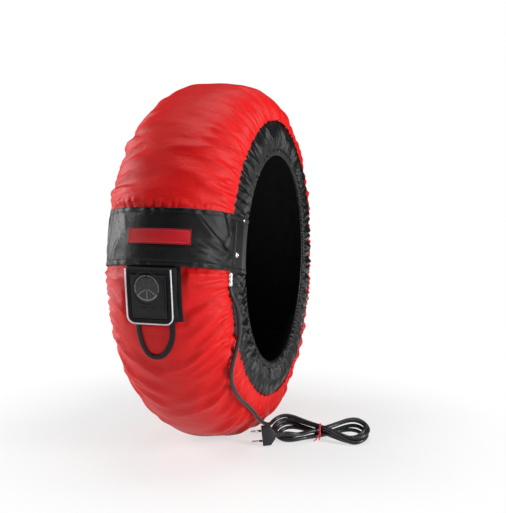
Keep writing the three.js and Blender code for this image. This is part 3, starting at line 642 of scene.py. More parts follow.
# Plug: local X from its face to the cord, Z across the pins
PLUG = (Matrix.Translation((0.112, -0.101, 0.0178))
        @ Matrix.Rotation(math.radians(18.5), 4, "Z") @ Matrix.Rotation(math.radians(-6), 4, "Y"))


def rounded_box_ring(x, half_y, half_z, corner, place):
    ring = []
    for cy, cz, start in [(1, 1, 0), (-1, 1, 90), (-1, -1, 180), (1, -1, 270)]:
        for k in range(6):
            turn = math.radians(start + 18 * k)
            ring.append(place @ Vector((x, cy * (half_y - corner) + corner * math.cos(turn),
                                        cz * (half_z - corner) + corner * math.sin(turn))))
    return ring


plug_stations = [
    (0, 5.7, 16.4, 1.6), (0.35, 6.4, 17.2, 2.0), (1.2, 6.85, 17.65, 2.2), (13.2, 6.85, 17.65, 2.2),
    (15.2, 6.8, 17.1, 2.4), (22.6, 5.9, 8.6, 3.2), (23.6, 5.5, 7.6, 3.4), (24.0, 4.9, 6.6, 3.4),
]
plug_rings = [rounded_box_ring(*[v * MM for v in station], PLUG) for station in plug_stations]
plug_body = rings_piece("plug_shell", plug_rings, "plug", "plug", ["plug_body"])
AXIS_X = PLUG @ Matrix.Rotation(math.radians(90), 4, "Y")
boot_profile = [(0.1, 23.6), (5.6, 23.6)]
for rib in range(4):
    top = 5.6 - 0.42 * rib
    start = 24.0 + 3.6 * rib
    boot_profile += [(top, start), (top - 0.1, start + 1.9)]
    boot_profile += [(top - 0.9, start + 2.2), (top - 0.95, start + 3.3)]
boot_profile += [(3.95, 38.6), (3.7, 39.5), (0.1, 39.5)]
plug_boot = lathe("plug_sleeve", in_metres(boot_profile), AXIS_X, "plug", "plug", ["plug_boot"])
PIN_REACH = 0.0093
pin_profile = [(0.05, -0.3), (2.0, -0.3), (2.0, -18.0), (1.7, -18.8), (1.0, -19.35), (0.05, -19.4)]
for name, side in [("lower", -1), ("upper", 1)]:
    place = AXIS_X @ Matrix.Translation((-side * PIN_REACH, 0, 0))
    lathe(f"plug_prong_{name}", in_metres(pin_profile), place, "steel", "steel",
                      [f"plug_pin_{name}"], sides=24)

# Tie: a flat twist tie round the waist with two long tails and a short one


def tie_piece():
    half_w, low, high = 14.2, 3.2, 27.8
    turn = circle(48)
    middle = (low + high) / 2
    ring = np.stack([np.zeros(48), half_w * np.sign(np.cos(turn)) * np.abs(np.cos(turn)) ** 0.75,
                     middle + (high - low) / 2 * np.sign(np.sin(turn)) * np.abs(np.sin(turn)) ** 0.75], -1)
    out = ring - np.array([0, 0, middle])
    loop = from_hank(np.concatenate([ring, ring[:1]]))
    turned = from_hank(np.concatenate([out, out[:1]])) - HANK_CENTRE
    rings = sweep_rings(loop, unit(turned), band_section(3.0 * MM, 1.0 * MM))[:-1]
    verts = rings.reshape(-1, 3)
    faces = grid_faces(48, rings.shape[1], wrap_rows=True, wrap_columns=True)
    tails = [
        [(0.5, -14.6, 21), (0, -15.8, 16), (-2.5, -17.4, 10), (-6.5, -19.5, 5), (-10.5, -22.5, 1.6)],
        [(-0.5, -14.6, 22), (1.0, -16.2, 16), (0.6, -18.0, 9.5), (-1.2, -20.0, 3.5)],
        [(-0.8, -13.6, 24), (1.2, -12.0, 28.5), (2.0, -9.0, 32.0)],
    ]
    for tail in tails:
        path = smooth_path(from_hank(tail), 0.0012)
        out = np.tile([0.2, -1.0, 0.35], (len(path), 1))
        scale = np.interp(np.linspace(0, 1, len(path)), [0, 0.9, 1], [1, 1, 0.55])
        rings = sweep_rings(path, out, band_section(2.2 * MM, 0.9 * MM), scale)
        faces += tube_faces(*rings.shape[:2], len(verts))
        verts = np.concatenate([verts, rings.reshape(-1, 3)])
    return piece("twist_tie", verts, faces, "tie", "tie", ["cord_tie"])


tie_piece()


# Cover

COLUMNS, ROWS = 1040, 84
SEAM_GATHERS, WRINKLES, TREAD_FOLDS = 144, 78, 34
LOW_FRONT = (0.74, 0.985)
LOWEST, HIGHEST = -0.0008, 0.0082


def from_closure(angle):
    """Angle up from the closure, from -pi to pi."""
    return np.arctan2(np.sin(angle - CLOSURE), np.cos(angle - CLOSURE))


def flap_distance(w, angle):
    """Distance up the cloth from the closure's middle line."""
    return from_closure(angle) * along(w, "r")


def is_low_front(q):
    """Whether q lies on the lower front, where the wrinkles slant; LOW_FRONT is in laps."""
    return LOW_FRONT[0] * LAP < q % LAP < LOW_FRONT[1] * LAP


def cover_creases():
    """Gathers square to both seams, longer wrinkles beyond them and shallow folds on the tread."""
    found = []
    for side in (-1, 1):
        for q in spread(SEAM_GATHERS, 0.35, LAP):
            length = rng.uniform(0.012, 0.030)
            found.append([side * (SEAM - 0.75 * length), q, side * rng.uniform(-0.12, 0.2), length,
                          rng.uniform(0.0028, 0.0043), rng.uniform(0.0020, 0.0038)])
        for q in spread(WRINKLES, 0.42, LAP):
            length = rng.uniform(0.024, 0.044)
            low_front = is_low_front(q)
            slant = rng.uniform(0.30, 0.62) if low_front else rng.uniform(-0.28, 0.16)
            found.append([side * (SEAM - 0.012 - length), q - 0.3 * low_front * length, side * slant, length,
                          rng.uniform(0.0042, 0.0078), rng.uniform(0.0026, 0.0056)])
        for q in spread(TREAD_FOLDS, 0.45, LAP):
            length = rng.uniform(0.035, 0.06)
            slant = rng.uniform(0.25, 0.55) if is_low_front(q) else rng.uniform(-0.3, 0.2)
            found.append([side * rng.uniform(0.030, 0.075), q, side * slant, length,
                          rng.uniform(0.007, 0.013), rng.uniform(0.0018, 0.0036)])
    return found


def flap_puckers():
    found = []
    for edge in (-1, 1):
        for w in np.arange(-SEAM + 0.008, SEAM - 0.004, 0.0085):
            w0 = w + 0.002 * rng.uniform(-1, 1)
            angle = CLOSURE + edge * (FLAP_HALF + 0.004) / float(along(w0, "r"))
            found.append([w0, (angle % (2 * math.pi)) * MEAN_R, math.pi / 2 + 0.25 * rng.uniform(-1, 1),
                          rng.uniform(0.005, 0.012), rng.uniform(0.002, 0.0034), rng.uniform(0.001, 0.0026)])
    return found


COVER_CREASES = cover_creases()
PUCKERS = flap_puckers()
TREAD_WAVES = [(3, 0.4, 9, 0.0006), (7, 2.1, -14, 0.0006), (11, 4.0, 21, 0.0005), (17, 1.3, -30, 0.0004)]


def cover_lift(w, angle):
    """Height of the slack cover over its smooth form: drawn flat under the flap and the pouch."""
    q = (angle % (2 * math.pi)) * MEAN_R
    distance = flap_distance(w, angle)
    x = np.sign(w) * along(w, "x")
    free = smooth(np.abs(distance), FLAP_HALF + 0.001, FLAP_HALF + 0.012)
    beyond = smooth(-distance, FLAP_HALF + PANEL_DROP, FLAP_HALF + PANEL_DROP + 0.012)
    behind = (1 - smooth(np.abs(x - POUCH_X), PANEL_HALF - 0.001, PANEL_HALF + 0.012)) \
        * (distance < 0) * (1 - beyond)
    free = free * (1 - behind)
    height = relief(COVER_CREASES, w, q, LAP) + 0.0012 + waves(angle, w, TREAD_WAVES)
    height = height * free
    beside = smooth(np.abs(distance), FLAP_HALF - 0.001, FLAP_HALF + 0.003) * (1 - behind)
    height = height + relief(PUCKERS, w, q, LAP) * beside
    return np.clip(height, LOWEST, HIGHEST)


def cover_piece():
    fraction = np.linspace(-1, 1, ROWS)
    angle = strip_angles(COLUMNS)
    edge = SEAM + 0.0006 + 0.0011 * np.cos(SEAM_GATHERS * angle) + 0.0006 * np.cos(61 * angle + 1)
    w = fraction[None] * edge
    lift = cover_lift(w, angle)
    points = surface(w, angle, lift)
    turned = []
    for depth, back in [(0.0012, 0.0003), (0.0026, 0.002), (0.0030, 0.008)]:
        for side, column in [(-1, [0]), (1, [-1])]:
            rim_lift = np.minimum(lift[:, column], 0.003) - depth
            turned.append(surface(w[:, column] - side * back, angle, rim_lift))
    left, right = turned[0::2][::-1], turned[1::2]
    points = np.concatenate([*left, points, *right], 1)
    section = np.concatenate([[-1.03, -1.02, -1.01], fraction, [1.01, 1.02, 1.03]]) * SEAM
    uv = pair_grid(angle * UV_R, section[None])
    return sheet_piece("cover_cloth", points, uv, "red_nylon", "red_nylon", ["outer_cover"])


cover = cover_piece()


# Lining, quilted to the pad

LINING_COLUMNS = 420


def lining_piece():
    fraction = np.linspace(-1, 1, 60)
    angle = strip_angles(LINING_COLUMNS)
    w = np.tile(fraction * (SEAM - 0.0015), (LINING_COLUMNS, 1))
    toward = smooth(np.abs(w), 0.78 * SEAM, 0.97 * SEAM)
    quilt = 0.0010 * np.abs(np.sin(24 * angle)) ** 0.6 * np.abs(np.sin(w / 0.034 * math.pi)) ** 0.6
    depth = 0.0152 * (1 - toward) + 0.0040 * toward
    points = surface(w, angle, -depth - quilt * (1 - toward))
    uv = pair_grid(angle * UV_R, w)
    return sheet_piece("lining_cloth", points, uv, "lining", "lining", ["inner_lining"], flip=True,
                       thickness=0.0008)


lining = lining_piece()


# Side skirts

SKIRT_COLUMNS = 1150
SKIRT_LAP = 2 * math.pi * SKIRT_R
BAND = 0.0115
GATHERS, PLEATS, SLACK_FOLDS, CRUMPLES, RUFFLES = 182, 84, 30, 30, 176


def skirt_creases(side):
    """Gathers at the seam, pleats down the skirt and, on the right, crumples below the flap."""
    found = []
    for q in spread(GATHERS, 0.35, SKIRT_LAP):
        found.append([SEAM + 0.007, q, rng.uniform(-0.2, 0.2), rng.uniform(0.006, 0.012),
                      rng.uniform(0.0020, 0.0028), rng.uniform(0.0005, 0.0014)])
    for q in spread(PLEATS, 0.4, SKIRT_LAP):
        length = rng.uniform(0.017, 0.030)
        found.append([HEM - BAND - 0.6 * length, q, rng.uniform(-0.2, 0.2), length,
                      rng.uniform(0.0036, 0.0060), rng.uniform(0.0032, 0.0056)])
    for q in spread(SLACK_FOLDS, 0.45, SKIRT_LAP):
        found.append([SEAM + rng.uniform(0.016, 0.03), q, rng.uniform(-0.5, 0.5), rng.uniform(0.012, 0.02),
                      rng.uniform(0.005, 0.008), rng.uniform(0.001, 0.0022)])
    if side > 0:
        for _ in range(CRUMPLES):
            q = (CLOSURE - FLAP_HALF / SKIRT_R - rng.uniform(0.0, 0.75)) * SKIRT_R
            found.append([SEAM + rng.uniform(0.014, 0.044), q, rng.uniform(-1.3, 1.3),
                          rng.uniform(0.008, 0.018), rng.uniform(0.003, 0.005), rng.uniform(0.0012, 0.0026)])
    return found


def hem_ruffles():
    found = []
    for q in spread(RUFFLES, 0.3, SKIRT_LAP):
        found.append([HEM - BAND / 2, q, rng.uniform(-0.25, 0.25), rng.uniform(0.005, 0.009),
                      rng.uniform(0.0019, 0.0027), rng.uniform(0.0010, 0.0019)])
    return found


def skirt_piece(side, name):
    angle = strip_angles(SKIRT_COLUMNS)
    w = np.concatenate([[SEAM - 0.002], np.linspace(SEAM + 0.0005, HEM, 34)])[None]
    q = (angle % (2 * math.pi)) * SKIRT_R
    folds = relief(skirt_creases(side), w, q, SKIRT_LAP)
    ruffles = relief(hem_ruffles(), w, q, SKIRT_LAP)
    flat = smooth(np.abs(flap_distance(w, angle)), FLAP_HALF - 0.004, FLAP_HALF + 0.006)
    below = -from_closure(angle)
    pressed = np.ones_like(below)
    if side > 0:
        pressed = 1 - 0.6 * smooth(below, 0, 0.05) * (1 - smooth(below, 0.75, 0.9))
    near_seam = smooth(w, SEAM, SEAM + 0.012)
    spared = np.maximum(pressed, smooth(w, SEAM + 0.015, SEAM + 0.03))
    folds = folds * flat * (1 - near_seam + near_seam * spared)
    in_band = smooth(w, HEM - BAND - 0.001, HEM - BAND + 0.001)
    puff = 0.0015 * np.sin(np.clip((w - HEM + BAND) / BAND, 0, 1) * math.pi) ** 0.7
    groove = -0.0009 * bell(w - HEM + BAND, 0.0011)
    tuck = -0.0022 * (1 - smooth(w, SEAM - 0.002, SEAM + 0.004))
    lift = folds * (1 - 0.75 * in_band) + ruffles * in_band * (0.3 + 0.7 * flat) + puff + groove + tuck
    lift = np.clip(lift, -0.0025, 0.0062)
    points = surface(side * w, angle, lift)
    scallop = ruffles[:, -1:] * (0.3 + 0.7 * flat[:, -1:])
    rim = []
    for r, drop in [(HEM_R - 0.0012, 0.0018), (HEM_R - 0.0004, 0.0042), (HEM_R + 0.003, 0.0056),
                    (HEM_R + 0.0125, 0.0058)]:
        x = side * (HEM_W + 0.8 * np.clip(lift[:, -1:], 0, 0.003) - drop)
        rim.append(ring_point(x, r - 0.8 * scallop, angle))
    points = np.concatenate([points, *rim], 1)
    section = np.concatenate([w[0], HEM + np.array([0.003, 0.006, 0.011, 0.02])])
    uv = pair_grid(angle * SKIRT_R, section[None])
    obj = sheet_piece(f"skirt_cloth_{name}", points, uv, "skirt_nylon", "black_nylon",
                      [f"side_skirt_{name}", f"hem_elastic_{name}"], flip=side < 0, thickness=0.0009)
    seam_row = points[:, int(np.argmin(np.abs(w[0] - (HEM - BAND))))]
    normal = np.tile([side, 0.0, 0.0], (len(seam_row), 1))
    stitches(f"hem_stitches_{name}", [(seam_row + normal * 0.0002, normal)], "thread", "black_nylon",
             pitch=0.0038)
    return obj


for name, side in [("left", -1), ("right", 1)]:
    skirt_piece(side, name)


# Closure flap

FLAP_END = HEM - 0.001
FLAP_CREASES = [
    # left side: upright folds in the grey patch
    [-0.086, 0.012, 1.45, 0.030, 0.006, 0.0022], [-0.104, -0.004, 1.7, 0.028, 0.005, 0.0020],
    [-0.070, -0.024, 1.2, 0.024, 0.006, 0.0018], [-0.120, 0.014, 1.5, 0.026, 0.005, 0.0018],
    [-0.094, -0.036, 1.0, 0.018, 0.004, 0.0014], [-0.056, 0.030, 1.9, 0.018, 0.006, 0.0012],
    [-0.132, -0.018, 1.35, 0.030, 0.004, 0.0018],
    # right side: folds that run down from the top edge to the snap
    [0.080, 0.020, -0.9, 0.034, 0.006, 0.0026], [0.098, 0.006, -0.7, 0.030, 0.005, 0.0022],
    [0.074, -0.016, -0.5, 0.024, 0.006, 0.0022], [0.110, -0.014, -0.35, 0.026, 0.005, 0.0020],
    [0.118, 0.026, -1.2, 0.020, 0.004, 0.0016], [0.090, -0.034, -0.15, 0.026, 0.005, 0.0018],
    [0.060, 0.034, -0.6, 0.020, 0.005, 0.0013], [0.132, 0.002, 1.2, 0.018, 0.004, 0.0014],
    [0.126, -0.030, 0.3, 0.016, 0.004, 0.0014],
    # tread: long and shallow
    [0.020, 0.034, 0.05, 0.050, 0.008, 0.0007], [-0.020, -0.034, -0.04, 0.050, 0.008, 0.0008],
]


def flap_lift(w, across):
    """Outer face of the flap: sewn down above the closure and lying on both tapes below it."""
    over_tapes = (1 - smooth(np.abs(w), 0.5 * SEAM, SEAM)) * smooth(-across, 0.0, 0.018)
    base = 0.0022 + 0.0032 * over_tapes
    ends = smooth(np.abs(w), HEM - 0.012, HEM)
    folds = relief(FLAP_CREASES, w, across) + 0.0005 * np.cos(34 * w + 1) * np.cos(70 * across)
    ripple = 0.0006 * np.cos(w * 300 + 1.2 * np.sin(90 * w)) * smooth(np.abs(across), 0.030, FLAP_HALF)
    hem = 0.0005 * smooth(np.abs(across), FLAP_HALF - 0.0068, FLAP_HALF - 0.0058)
    stitched = -0.0005 * bell(np.abs(across) - FLAP_HALF + FLAP_STITCH, 0.0008)
    seam_x = SEAM + 0.012
    seam = 0.0010 * bell(np.abs(w) - seam_x, 0.0016) - 0.0006 * bell(np.abs(w) - seam_x - 0.003, 0.0008)
    return base + np.clip(folds, -0.0008, 0.004) * (1 - ends) + ripple * (1 - ends) + hem + stitched + seam


def flap_points(w, across, lift):
    return surface(w, cloth_angle(w, across), lift)


def cloth_normal(w, across):
    return normal_at(w, cloth_angle(w, across))


def flap_line(w, across, over):
    """A line over the flap's face: its points and their normals."""
    w, across = np.broadcast_arrays(w, across)
    lift = flap_lift(w[:, None], across[:, None])[:, 0] + over
    return flap_points(w, across, lift), cloth_normal(w, across)


def between(corners, steps):
    """Places from each corner to the next, at the given fractions of the way."""
    for (a0, b0), (a1, b1) in zip(corners[:-1], corners[1:]):
        yield a0 + (a1 - a0) * steps, b0 + (b1 - b0) * steps


def flap_piece():
    w = np.linspace(-FLAP_END, FLAP_END, 330)[:, None]
    across = np.linspace(-FLAP_HALF, FLAP_HALF, 78)[None]
    points = flap_points(w, across, flap_lift(w, across))
    return sheet_piece("flap_cloth", points, pair_grid(w, across), "black_nylon", "black_nylon",
                       ["closure_flap"], flip=True, thickness=0.0013)


flap = flap_piece()

run = np.linspace(-FLAP_END + 0.002, FLAP_END - 0.002, 300)
rise = np.linspace(-FLAP_HALF + 0.002, FLAP_HALF - 0.002, 60)
flap_lines = [flap_line(run, edge * (FLAP_HALF - FLAP_STITCH), 0.00025) for edge in (-1, 1)]
flap_lines += [flap_line(side * (SEAM + 0.015), rise, 0.0003) for side in (-1, 1)]
stitches("flap_stitches", flap_lines, "thread", "black_nylon")


# Label: a plain stitched patch

def edged(low, high, steps, edge=0.0003):
    """Even steps between two values, with both ends doubled for a turned edge."""
    return np.concatenate([[low, low], np.linspace(low + edge, high - edge, steps), [high, high]])


def label_piece():
    left, right = w_of_x(-0.042), w_of_x(0.060)
    half = 0.0125
    w = edged(left, right, 100)[:, None]
    across = edged(-half, half, 30)[None]
    border = np.minimum(np.minimum(w - left, right - w), half - np.abs(across))
    height = 0.0009 * smooth(border, -0.0001, 0.0004) + 0.0004 * (1 - smooth(border, 0.0016, 0.0022)) \
        * smooth(border, -0.0001, 0.0006)
    height[[0, -1]] = 0
    height[:, [0, -1]] = 0
    lift = flap_lift(w, across) + 0.0001 + height
    points = flap_points(w, across, lift)
    obj = sheet_piece("label_cloth", points, pair_grid(w, across), "label", "label", ["label_patch"],
                      flip=True)
    obj.data.materials.append(MATERIALS["label_edge"])
    rim = ((border[:-1, :-1] + border[1:, 1:]) / 2 < 0.0018).ravel()
    obj.data.polygons.foreach_set("material_index", rim.astype(np.int32))
    inset = 0.0034
    left, right, half = left + inset, right - inset, half - inset
    corners = [(left, -half), (right, -half), (right, half), (left, half), (left, -half)]
    lines = [flap_line(*at, 0.0012) for at in between(corners, np.linspace(0.01, 0.99, 40))]
    stitches("label_stitches", lines, "red_thread", "label", pitch=0.003, length=0.0022, radius=0.00025)
    return obj


label = label_piece()


# Snaps and rivets on the flap where it lies on a skirt

def cap(name, side, radius_at, rise, radius, height, node, dimple):
    w = float(np.interp(-radius_at, -SECTION["r"][CROWN_STEPS - 1:], SECTION["w"][CROWN_STEPS - 1:]))
    points, normals = flap_line(np.array([side * w]), rise, 0.0)
    turn = Vector(normals[0]).normalized().to_track_quat("Z", "Y")
    place = Matrix.Translation(points[0]) @ turn.to_matrix().to_4x4()
    dome = [(1, 0.12), (0.97, 0.36), (0.86, 0.62), (0.66, 0.84), (0.5, 0.93), (0.42, 0.93 - dimple),
            (0.02, 0.95 - dimple)]
    profile = [(0.02 * radius, -0.001), (0.98 * radius, -0.001)] + [(r * radius, h * height) for r, h in dome]
    return lathe(name, profile, place, "steel", "steel", [node], sides=28)


for name, side in [("left", -1), ("right", 1)]:
    cap(f"snap_{name}", side, 0.2415, -0.0185, 0.0046, 0.0022, f"snap_cap_{name}", 0.25)
    cap(f"stud_{name}", side, 0.228, 0.040, 0.0026, 0.0014, f"rivet_{name}", 0.0)


# Pouch: panel, front, housing and dial

def panel_lift(x, drop):
    edge = np.minimum(np.minimum(x - POUCH_X + PANEL_HALF, POUCH_X + PANEL_HALF - x), PANEL_DROP - drop)
    hem = 0.0005 * (1 - smooth(edge, 0.0055, 0.0065))
    groove = -0.0004 * bell(edge - PANEL_STITCH, 0.0007)
    wave = 0.0006 * np.sin(drop * 120 + 1) * smooth(np.abs(x - POUCH_X), 0.03, PANEL_HALF)
    return 0.0017 + hem + groove + wave


def panel_piece():
    x = np.linspace(POUCH_X - PANEL_HALF, POUCH_X + PANEL_HALF, 76)[:, None]
    drop = np.linspace(-0.004, PANEL_DROP, 78)[None]
    lift = panel_lift(x, drop)
    points = surface(w_of_x(x), FLAP_EDGE - drop / CROWN_R, lift)
    uv = pair_grid(x, drop)
    obj = sheet_piece("panel_cloth", points, uv, "pouch_cloth", "black_nylon", ["pouch_back_panel"],
                      thickness=0.0011)
    lines = []
    left, right = POUCH_X - PANEL_HALF + PANEL_STITCH, POUCH_X + PANEL_HALF - PANEL_STITCH
    low = PANEL_DROP - PANEL_STITCH
    corners = [(left, 0.001), (left, low), (right, low), (right, 0.001)]
    for xs, ds in between(corners, np.linspace(0, 1, 60)):
        ws, angle = w_of_x(xs), FLAP_EDGE - ds / CROWN_R
        line_lift = panel_lift(xs, ds) + 0.0002
        lines.append((surface(ws, angle, line_lift), normal_at(ws, angle)))
    stitches("panel_stitches", lines, "thread", "black_nylon")
    return obj


panel = panel_piece()

POUCH = Matrix.Translation(ring_point(np.array(POUCH_X), CROWN_R, POUCH_ANGLE)) \
    @ Matrix.Rotation(math.pi / 2 - POUCH_ANGLE, 4, "X")


def outline(inset, top_corner=0.003):
    """The pouch's outline drawn in by inset: top corners nearly square, lower ones round."""
    half, low, high = POUCH_HALF - inset, POUCH_LOW + inset, POUCH_HIGH - inset
    points = []
    for x, y, radius, start in [(-1, low, POUCH_CORNER, 180), (1, low, POUCH_CORNER, 270),
                                (1, high, top_corner, 0), (-1, high, top_corner, 90)]:
        r = max(radius - inset, 0.0008)
        cx, cy = x * (half - r), y + r if y < 0 else y - r
        turn = np.radians(np.linspace(start, start + 90, 9))
        points += [(cx + r * math.cos(t), cy + r * math.sin(t)) for t in turn]
    return np.array(points)


def cloth_depth(x, y):
    """Height of the panel's face in the pouch's frame."""
    r = along(w_of_x(x + POUCH_X), "r") + 0.0016
    return np.sqrt(np.maximum(r ** 2 - y ** 2, 0)) - CROWN_R


def pouch_ring(inset, z=None, over=0.0):
    """One ring of the pouch at inset; without z it lies on the panel."""
    flat = outline(inset)
    height = cloth_depth(flat[:, 0], flat[:, 1]) + over if z is None else np.full(len(flat), z)
    return np.array([POUCH @ Vector((x, y, h)) for (x, y), h in zip(flat, height)])


def pouch_front_piece():
    foot = [(-1.6, 0.3), (-1.2, 1.6), (-0.2, 2.4)]
    wall = [(0, 6), (-0.5, 10), (0, 14.2), (0.6, 15.8), (1.8, 16.7), (3.4, 17.0), (5.2, 17.1), (7.0, 17.2),
            (7.7, 16.9), (8.0, 16.2), (8.0, 14.0)]
    rings = [pouch_ring(inset, over=over) for inset, over in in_metres(foot)]
    rings += [pouch_ring(inset, z) for inset, z in in_metres(wall)]
    return rings_piece("pouch_cover", rings, "pouch_cloth", "black_nylon", ["pouch_front"],
                       caps=(False, False))


pouch_front_piece()


def housing_piece():
    steps = [(7.9, 12.0), (8.4, 17.2), (8.7, 17.8), (9.3, 18.2), (11.2, 18.3), (11.7, 18.05), (12.3, 18.2)]
    rings = [pouch_ring(inset, z) for inset, z in in_metres(steps)]
    return rings_piece("housing_shell", rings, "housing", "housing", ["controller_housing"],
                       caps=(False, True))


housing_piece()


def raised(name, shapes, material, slot, bottom, top, replaces=()):
    """Thin raised shapes on the housing: each is a closed outline in the pouch's frame."""
    verts, faces = [], []
    for shape in shapes:
        shape = np.asarray(shape)
        n = len(shape)
        start = len(verts)
        for z in (bottom, top):
            verts += [POUCH @ Vector((x, y, z)) for x, y in shape]
        faces += [[start + k, start + (k + 1) % n, start + n + (k + 1) % n, start + n + k] for k in range(n)]
        faces.append([start + n + k for k in range(n)])
    return piece(name, verts, faces, material, slot, replaces, flat_shaded=True)


def bar(x0, y0, x1, y1, width):
    d = np.array([x1 - x0, y1 - y0])
    d = d / np.linalg.norm(d)
    s = np.array([-d[1], d[0]]) * width / 2
    a, b = np.array([x0, y0]), np.array([x1, y1])
    return [a - s, b - s, b + s, a + s]


def arc_quads(radius, width, start, stop):
    """Outlines side by side along an arc round the dial's middle, from start to stop degrees."""
    turn = np.radians(np.linspace(start, stop, max(3, int(abs(stop - start) / 4))))
    way = np.stack([np.cos(turn), np.sin(turn)], -1)
    outer, inner = DIAL + (radius + width / 2) * way, DIAL + (radius - width / 2) * way
    return [[outer[k], outer[k + 1], inner[k + 1], inner[k]] for k in range(len(turn) - 1)]


SEGMENTS = {"1": "bc", "2": "abged", "3": "abgcd", "8": "abcdefg"}


def digit(character, x, y, width, height, line):
    """A seven-segment numeral centred at x, y."""
    w, h = width / 2, height / 2
    ends = {"a": (-w, h, w, h), "b": (w, h, w, 0), "c": (w, 0, w, -h), "d": (-w, -h, w, -h),
            "e": (-w, 0, -w, -h), "f": (-w, h, -w, 0), "g": (-w, 0, w, 0)}
    bars = []
    for key in SEGMENTS[character]:
        x0, y0, x1, y1 = ends[key]
        gap = line * 0.6
        if x0 == x1:
            y0, y1 = y0 - math.copysign(gap, y0 - y1), y1 + math.copysign(gap, y0 - y1)
        else:
            x0, x1 = x0 + gap, x1 - gap
        bars.append(bar(x + x0, y + y0, x + x1, y + y1, line))
    return bars


def dial_pieces():
    centre = POUCH @ Matrix.Translation((*DIAL, 0))
    lathe("dial_disc", [(0.0215, 0.0175), (0.0215, 0.01835), (0.0212, 0.01845), (0.0001, 0.01845)], centre,
          "dial", "dial", ["dial_face"], sides=72)
    bezel = [(25.2, 18.0), (25.2, 18.7), (25.6, 19.0), (26.6, 19.0), (27.0, 18.7), (27.0, 18.0)]
    lathe("dial_ring", in_metres(bezel), centre, "housing", "housing", ["dial_bezel"], sides=72,
          caps=(False, False))
    cx, cy = DIAL
    shapes = []
    for band in [(0.0200, 0.0012, 92, 158), (0.0200, 0.0016, 163, 203), (0.0200, 0.0012, -18, 84),
                 (0.0192, 0.0026, 212, 328)]:
        shapes += arc_quads(*band)
    for degrees in (-90, 216, 324):
        c, s = math.cos(math.radians(degrees)), math.sin(math.radians(degrees))
        shapes.append(bar(cx + 0.0028 * c, cy + 0.0028 * s, cx + 0.0182 * c, cy + 0.0182 * s, 0.0015))
    raised("dial_print", shapes, "marks", "marks", 0.01845, 0.0187, ["dial_marks"])
    small = []
    for k in (-1, 0, 1):
        small += digit("8", cx + 0.0060 * k, cy + 0.0122, 0.0040, 0.0058, 0.0008)
    for y in (0.0068, 0.0052, 0.0036):
        small.append(bar(cx - 0.0085 + y / 4, cy + y, cx + 0.0085 - y / 4, cy + y, 0.0007))
    for text, x, y, width in [("1", -0.0058, -0.0112, 0.0024), ("2", 0.0058, -0.0112, 0.0026),
                              ("3", 0.0135, -0.0016, 0.0026)]:
        small += digit(text, cx + x, cy + y, width, 0.0036, 0.0006)
    for y in (0.0014, -0.0004, -0.0036):
        small.append(bar(cx - 0.0160, cy + y, cx - 0.0105, cy + y, 0.0008))
    small.append(bar(cx + 0.0125, cy + 0.0055, cx + 0.0140, cy + 0.0095, 0.0016))
    raised("dial_numbers", small, "dim_marks", "marks", 0.01845, 0.0186)
    ribs = [bar(0.0262, -0.022, 0.0262, 0.030, 0.0012), bar(0.0292, -0.022, 0.0292, 0.030, 0.0009),
            bar(-0.014, -0.0185, -0.004, -0.0185, 0.0010), bar(0.004, -0.0185, 0.012, -0.0185, 0.0010)]
    raised("housing_ribs", ribs, "housing", "housing", 0.0180, 0.0192)


dial_pieces()


def piping_piece():
    """Beaded piping round the pouch's front edge: down one side, along the bottom and up the other."""
    flat = outline(-0.0004)
    course = np.concatenate([[(-POUCH_HALF - 0.0004, POUCH_HIGH - 0.0005)], flat[:18],
                             [(POUCH_HALF + 0.0004, POUCH_HIGH - 0.0005)]])
    path = np.array([POUCH @ Vector((x, y, 0.0172)) for x, y in course])
    spacing, bead_pitch = 0.00034, 0.0021
    path = even_out(resample(path, spacing), 12)
    scale = 1 + 0.2 * np.cos(2 * math.pi * np.arange(len(path)) * spacing / bead_pitch)
    out = np.tile(np.array(POUCH.to_3x3() @ Vector((0, 0, 1))), (len(path), 1))
    rings = sweep_rings(path, out, round_section(0.00115, 10), scale)
    return rings_piece("piping", rings, "reflective", "reflective", ["pouch_piping"])


piping_piece()

# Pull loop: x across and drop down the cloth from the panel's lower edge, in mm
LOOP = [
    (-29, -6), (-29, 2), (-29, 20), (-26, 42), (-19, 57), (-10, 62), (2, 60), (13, 51), (21, 39), (27, 22),
    (29, 2), (29, -6),
]


def loop_piece():
    flat = smooth_path([(x, d, 0) for x, d in LOOP], 2.0)
    x = POUCH_X + flat[:, 0] * MM
    drop = PANEL_DROP + (flat[:, 1] + 0.4) * MM
    w, angle = w_of_x(x), FLAP_EDGE - drop / CROWN_R
    ride = cover_lift(w[:, None], angle[:, None])[:, 0]
    ride = np.convolve(np.pad(ride, 4, mode="edge"), np.ones(9) / 9, mode="valid")
    lift = np.maximum(ride, 0) + 0.0016 + 0.0016 * (1 - smooth(drop, PANEL_DROP, PANEL_DROP + 0.006))
    path = surface(w, angle, lift)
    rings = sweep_rings(path, normal_at(w, angle), band_section(0.009, 0.0018))
    return rings_piece("webbing_loop", rings, "webbing", "webbing", ["pull_loop"])


loop_piece()

# CAD nodes that stay, with their own finishes
for node, material in [("insulation_pad", "felt"), ("heater_wire", "heater"), ("thermostat", "housing"),
                       ("loop_tape", "tape"), ("hook_tape", "tape")]:
    obj = frame["nodes"][node]
    obj.data.materials.clear()
    obj.data.materials.append(MATERIALS[material])


# Floor, light and background

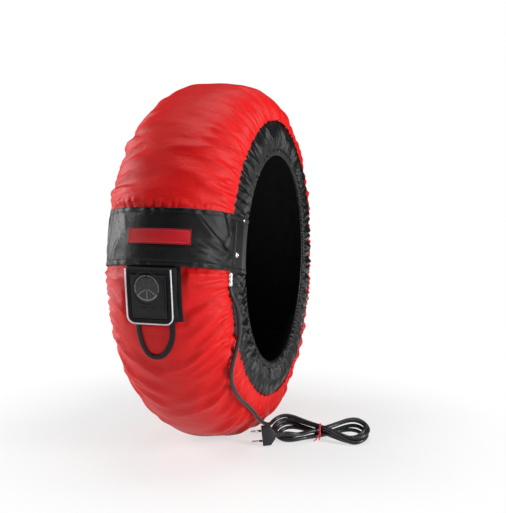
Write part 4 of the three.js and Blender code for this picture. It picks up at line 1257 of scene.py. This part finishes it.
def floor_piece():
    mesh = bpy.data.meshes.new("floor")
    corners = [(-6, -6), (6, -6), (6, 6), (-6, 6)]
    mesh.from_pydata([(x, y, -0.0006) for x, y in corners], [], [(0, 1, 2, 3)])
    obj = put("floor", mesh)
    s = Surface("floor", (0.9, 0.9, 0.9), 0.22, Specular_IOR_Level=0.35)
    path = s.node("ShaderNodeLightPath")
    seen = s.math("MAXIMUM", path.outputs["Is Camera Ray"], path.outputs["Is Glossy Ray"])
    glow = s.node("ShaderNodeEmission", {"Color": (1, 1, 1, 1), "Strength": 1.0})
    away = s.node("ShaderNodeVectorMath", {0: s.place.outputs["Object"]}, operation="LENGTH").outputs["Value"]
    far = s.node("ShaderNodeMapRange", {"Value": away, "From Min": 0.24, "From Max": 0.62,
                                        "To Min": 0.62, "To Max": 1.0}, interpolation_type="SMOOTHSTEP")
    total = s.node("ShaderNodeMixShader", {0: s.math("MULTIPLY", seen, far.outputs["Result"]),
                                           1: s.shader.outputs[0], 2: glow.outputs[0]})
    s.links.new(total.outputs[0], s.nodes["Material Output"].inputs["Surface"])
    mesh.materials.append(s.material)


def lamp(name, place, target, size, energy):
    data = bpy.data.lights.new(name, "AREA")
    data.shape = "RECTANGLE"
    data.size, data.size_y = size
    data.energy = energy
    obj = put(name, data)
    obj.location = place
    obj.rotation_euler = (Vector(target) - Vector(place)).to_track_quat("-Z", "Y").to_euler()


def world():
    made = bpy.data.worlds.new("studio")
    bpy.context.scene.world = made
    made.use_nodes = True
    tree = made.node_tree
    back = tree.nodes["Background"]
    path = add_node(tree, "ShaderNodeLightPath").outputs
    both = add_node(tree, "ShaderNodeMath", {0: path["Is Camera Ray"], 1: path["Is Transmission Ray"]},
                    operation="MAXIMUM")
    strength = add_node(tree, "ShaderNodeMapRange", {"Value": both.outputs[0], "To Min": 0.08, "To Max": 1.0})
    tree.links.new(strength.outputs["Result"], back.inputs["Strength"])
    back.inputs["Color"].default_value = (1, 1, 1, 1)


floor_piece()
world()
lamp("left_box", (-2.3, -0.25, 0.9), (0, 0, 0.33), (0.8, 1.8), 64)
lamp("right_box", (2.2, -0.55, 0.9), (0, 0, 0.33), (0.5, 1.7), 56)
lamp("top_box", (0.1, 0.1, 2.5), (0, 0, 0.33), (1.2, 1.2), 22)
lamp("low_fill", (0.4, -2.6, 0.5), (0, 0, 0.25), (1.0, 0.7), 3)

bpy.context.scene.view_settings.view_transform = "Standard"
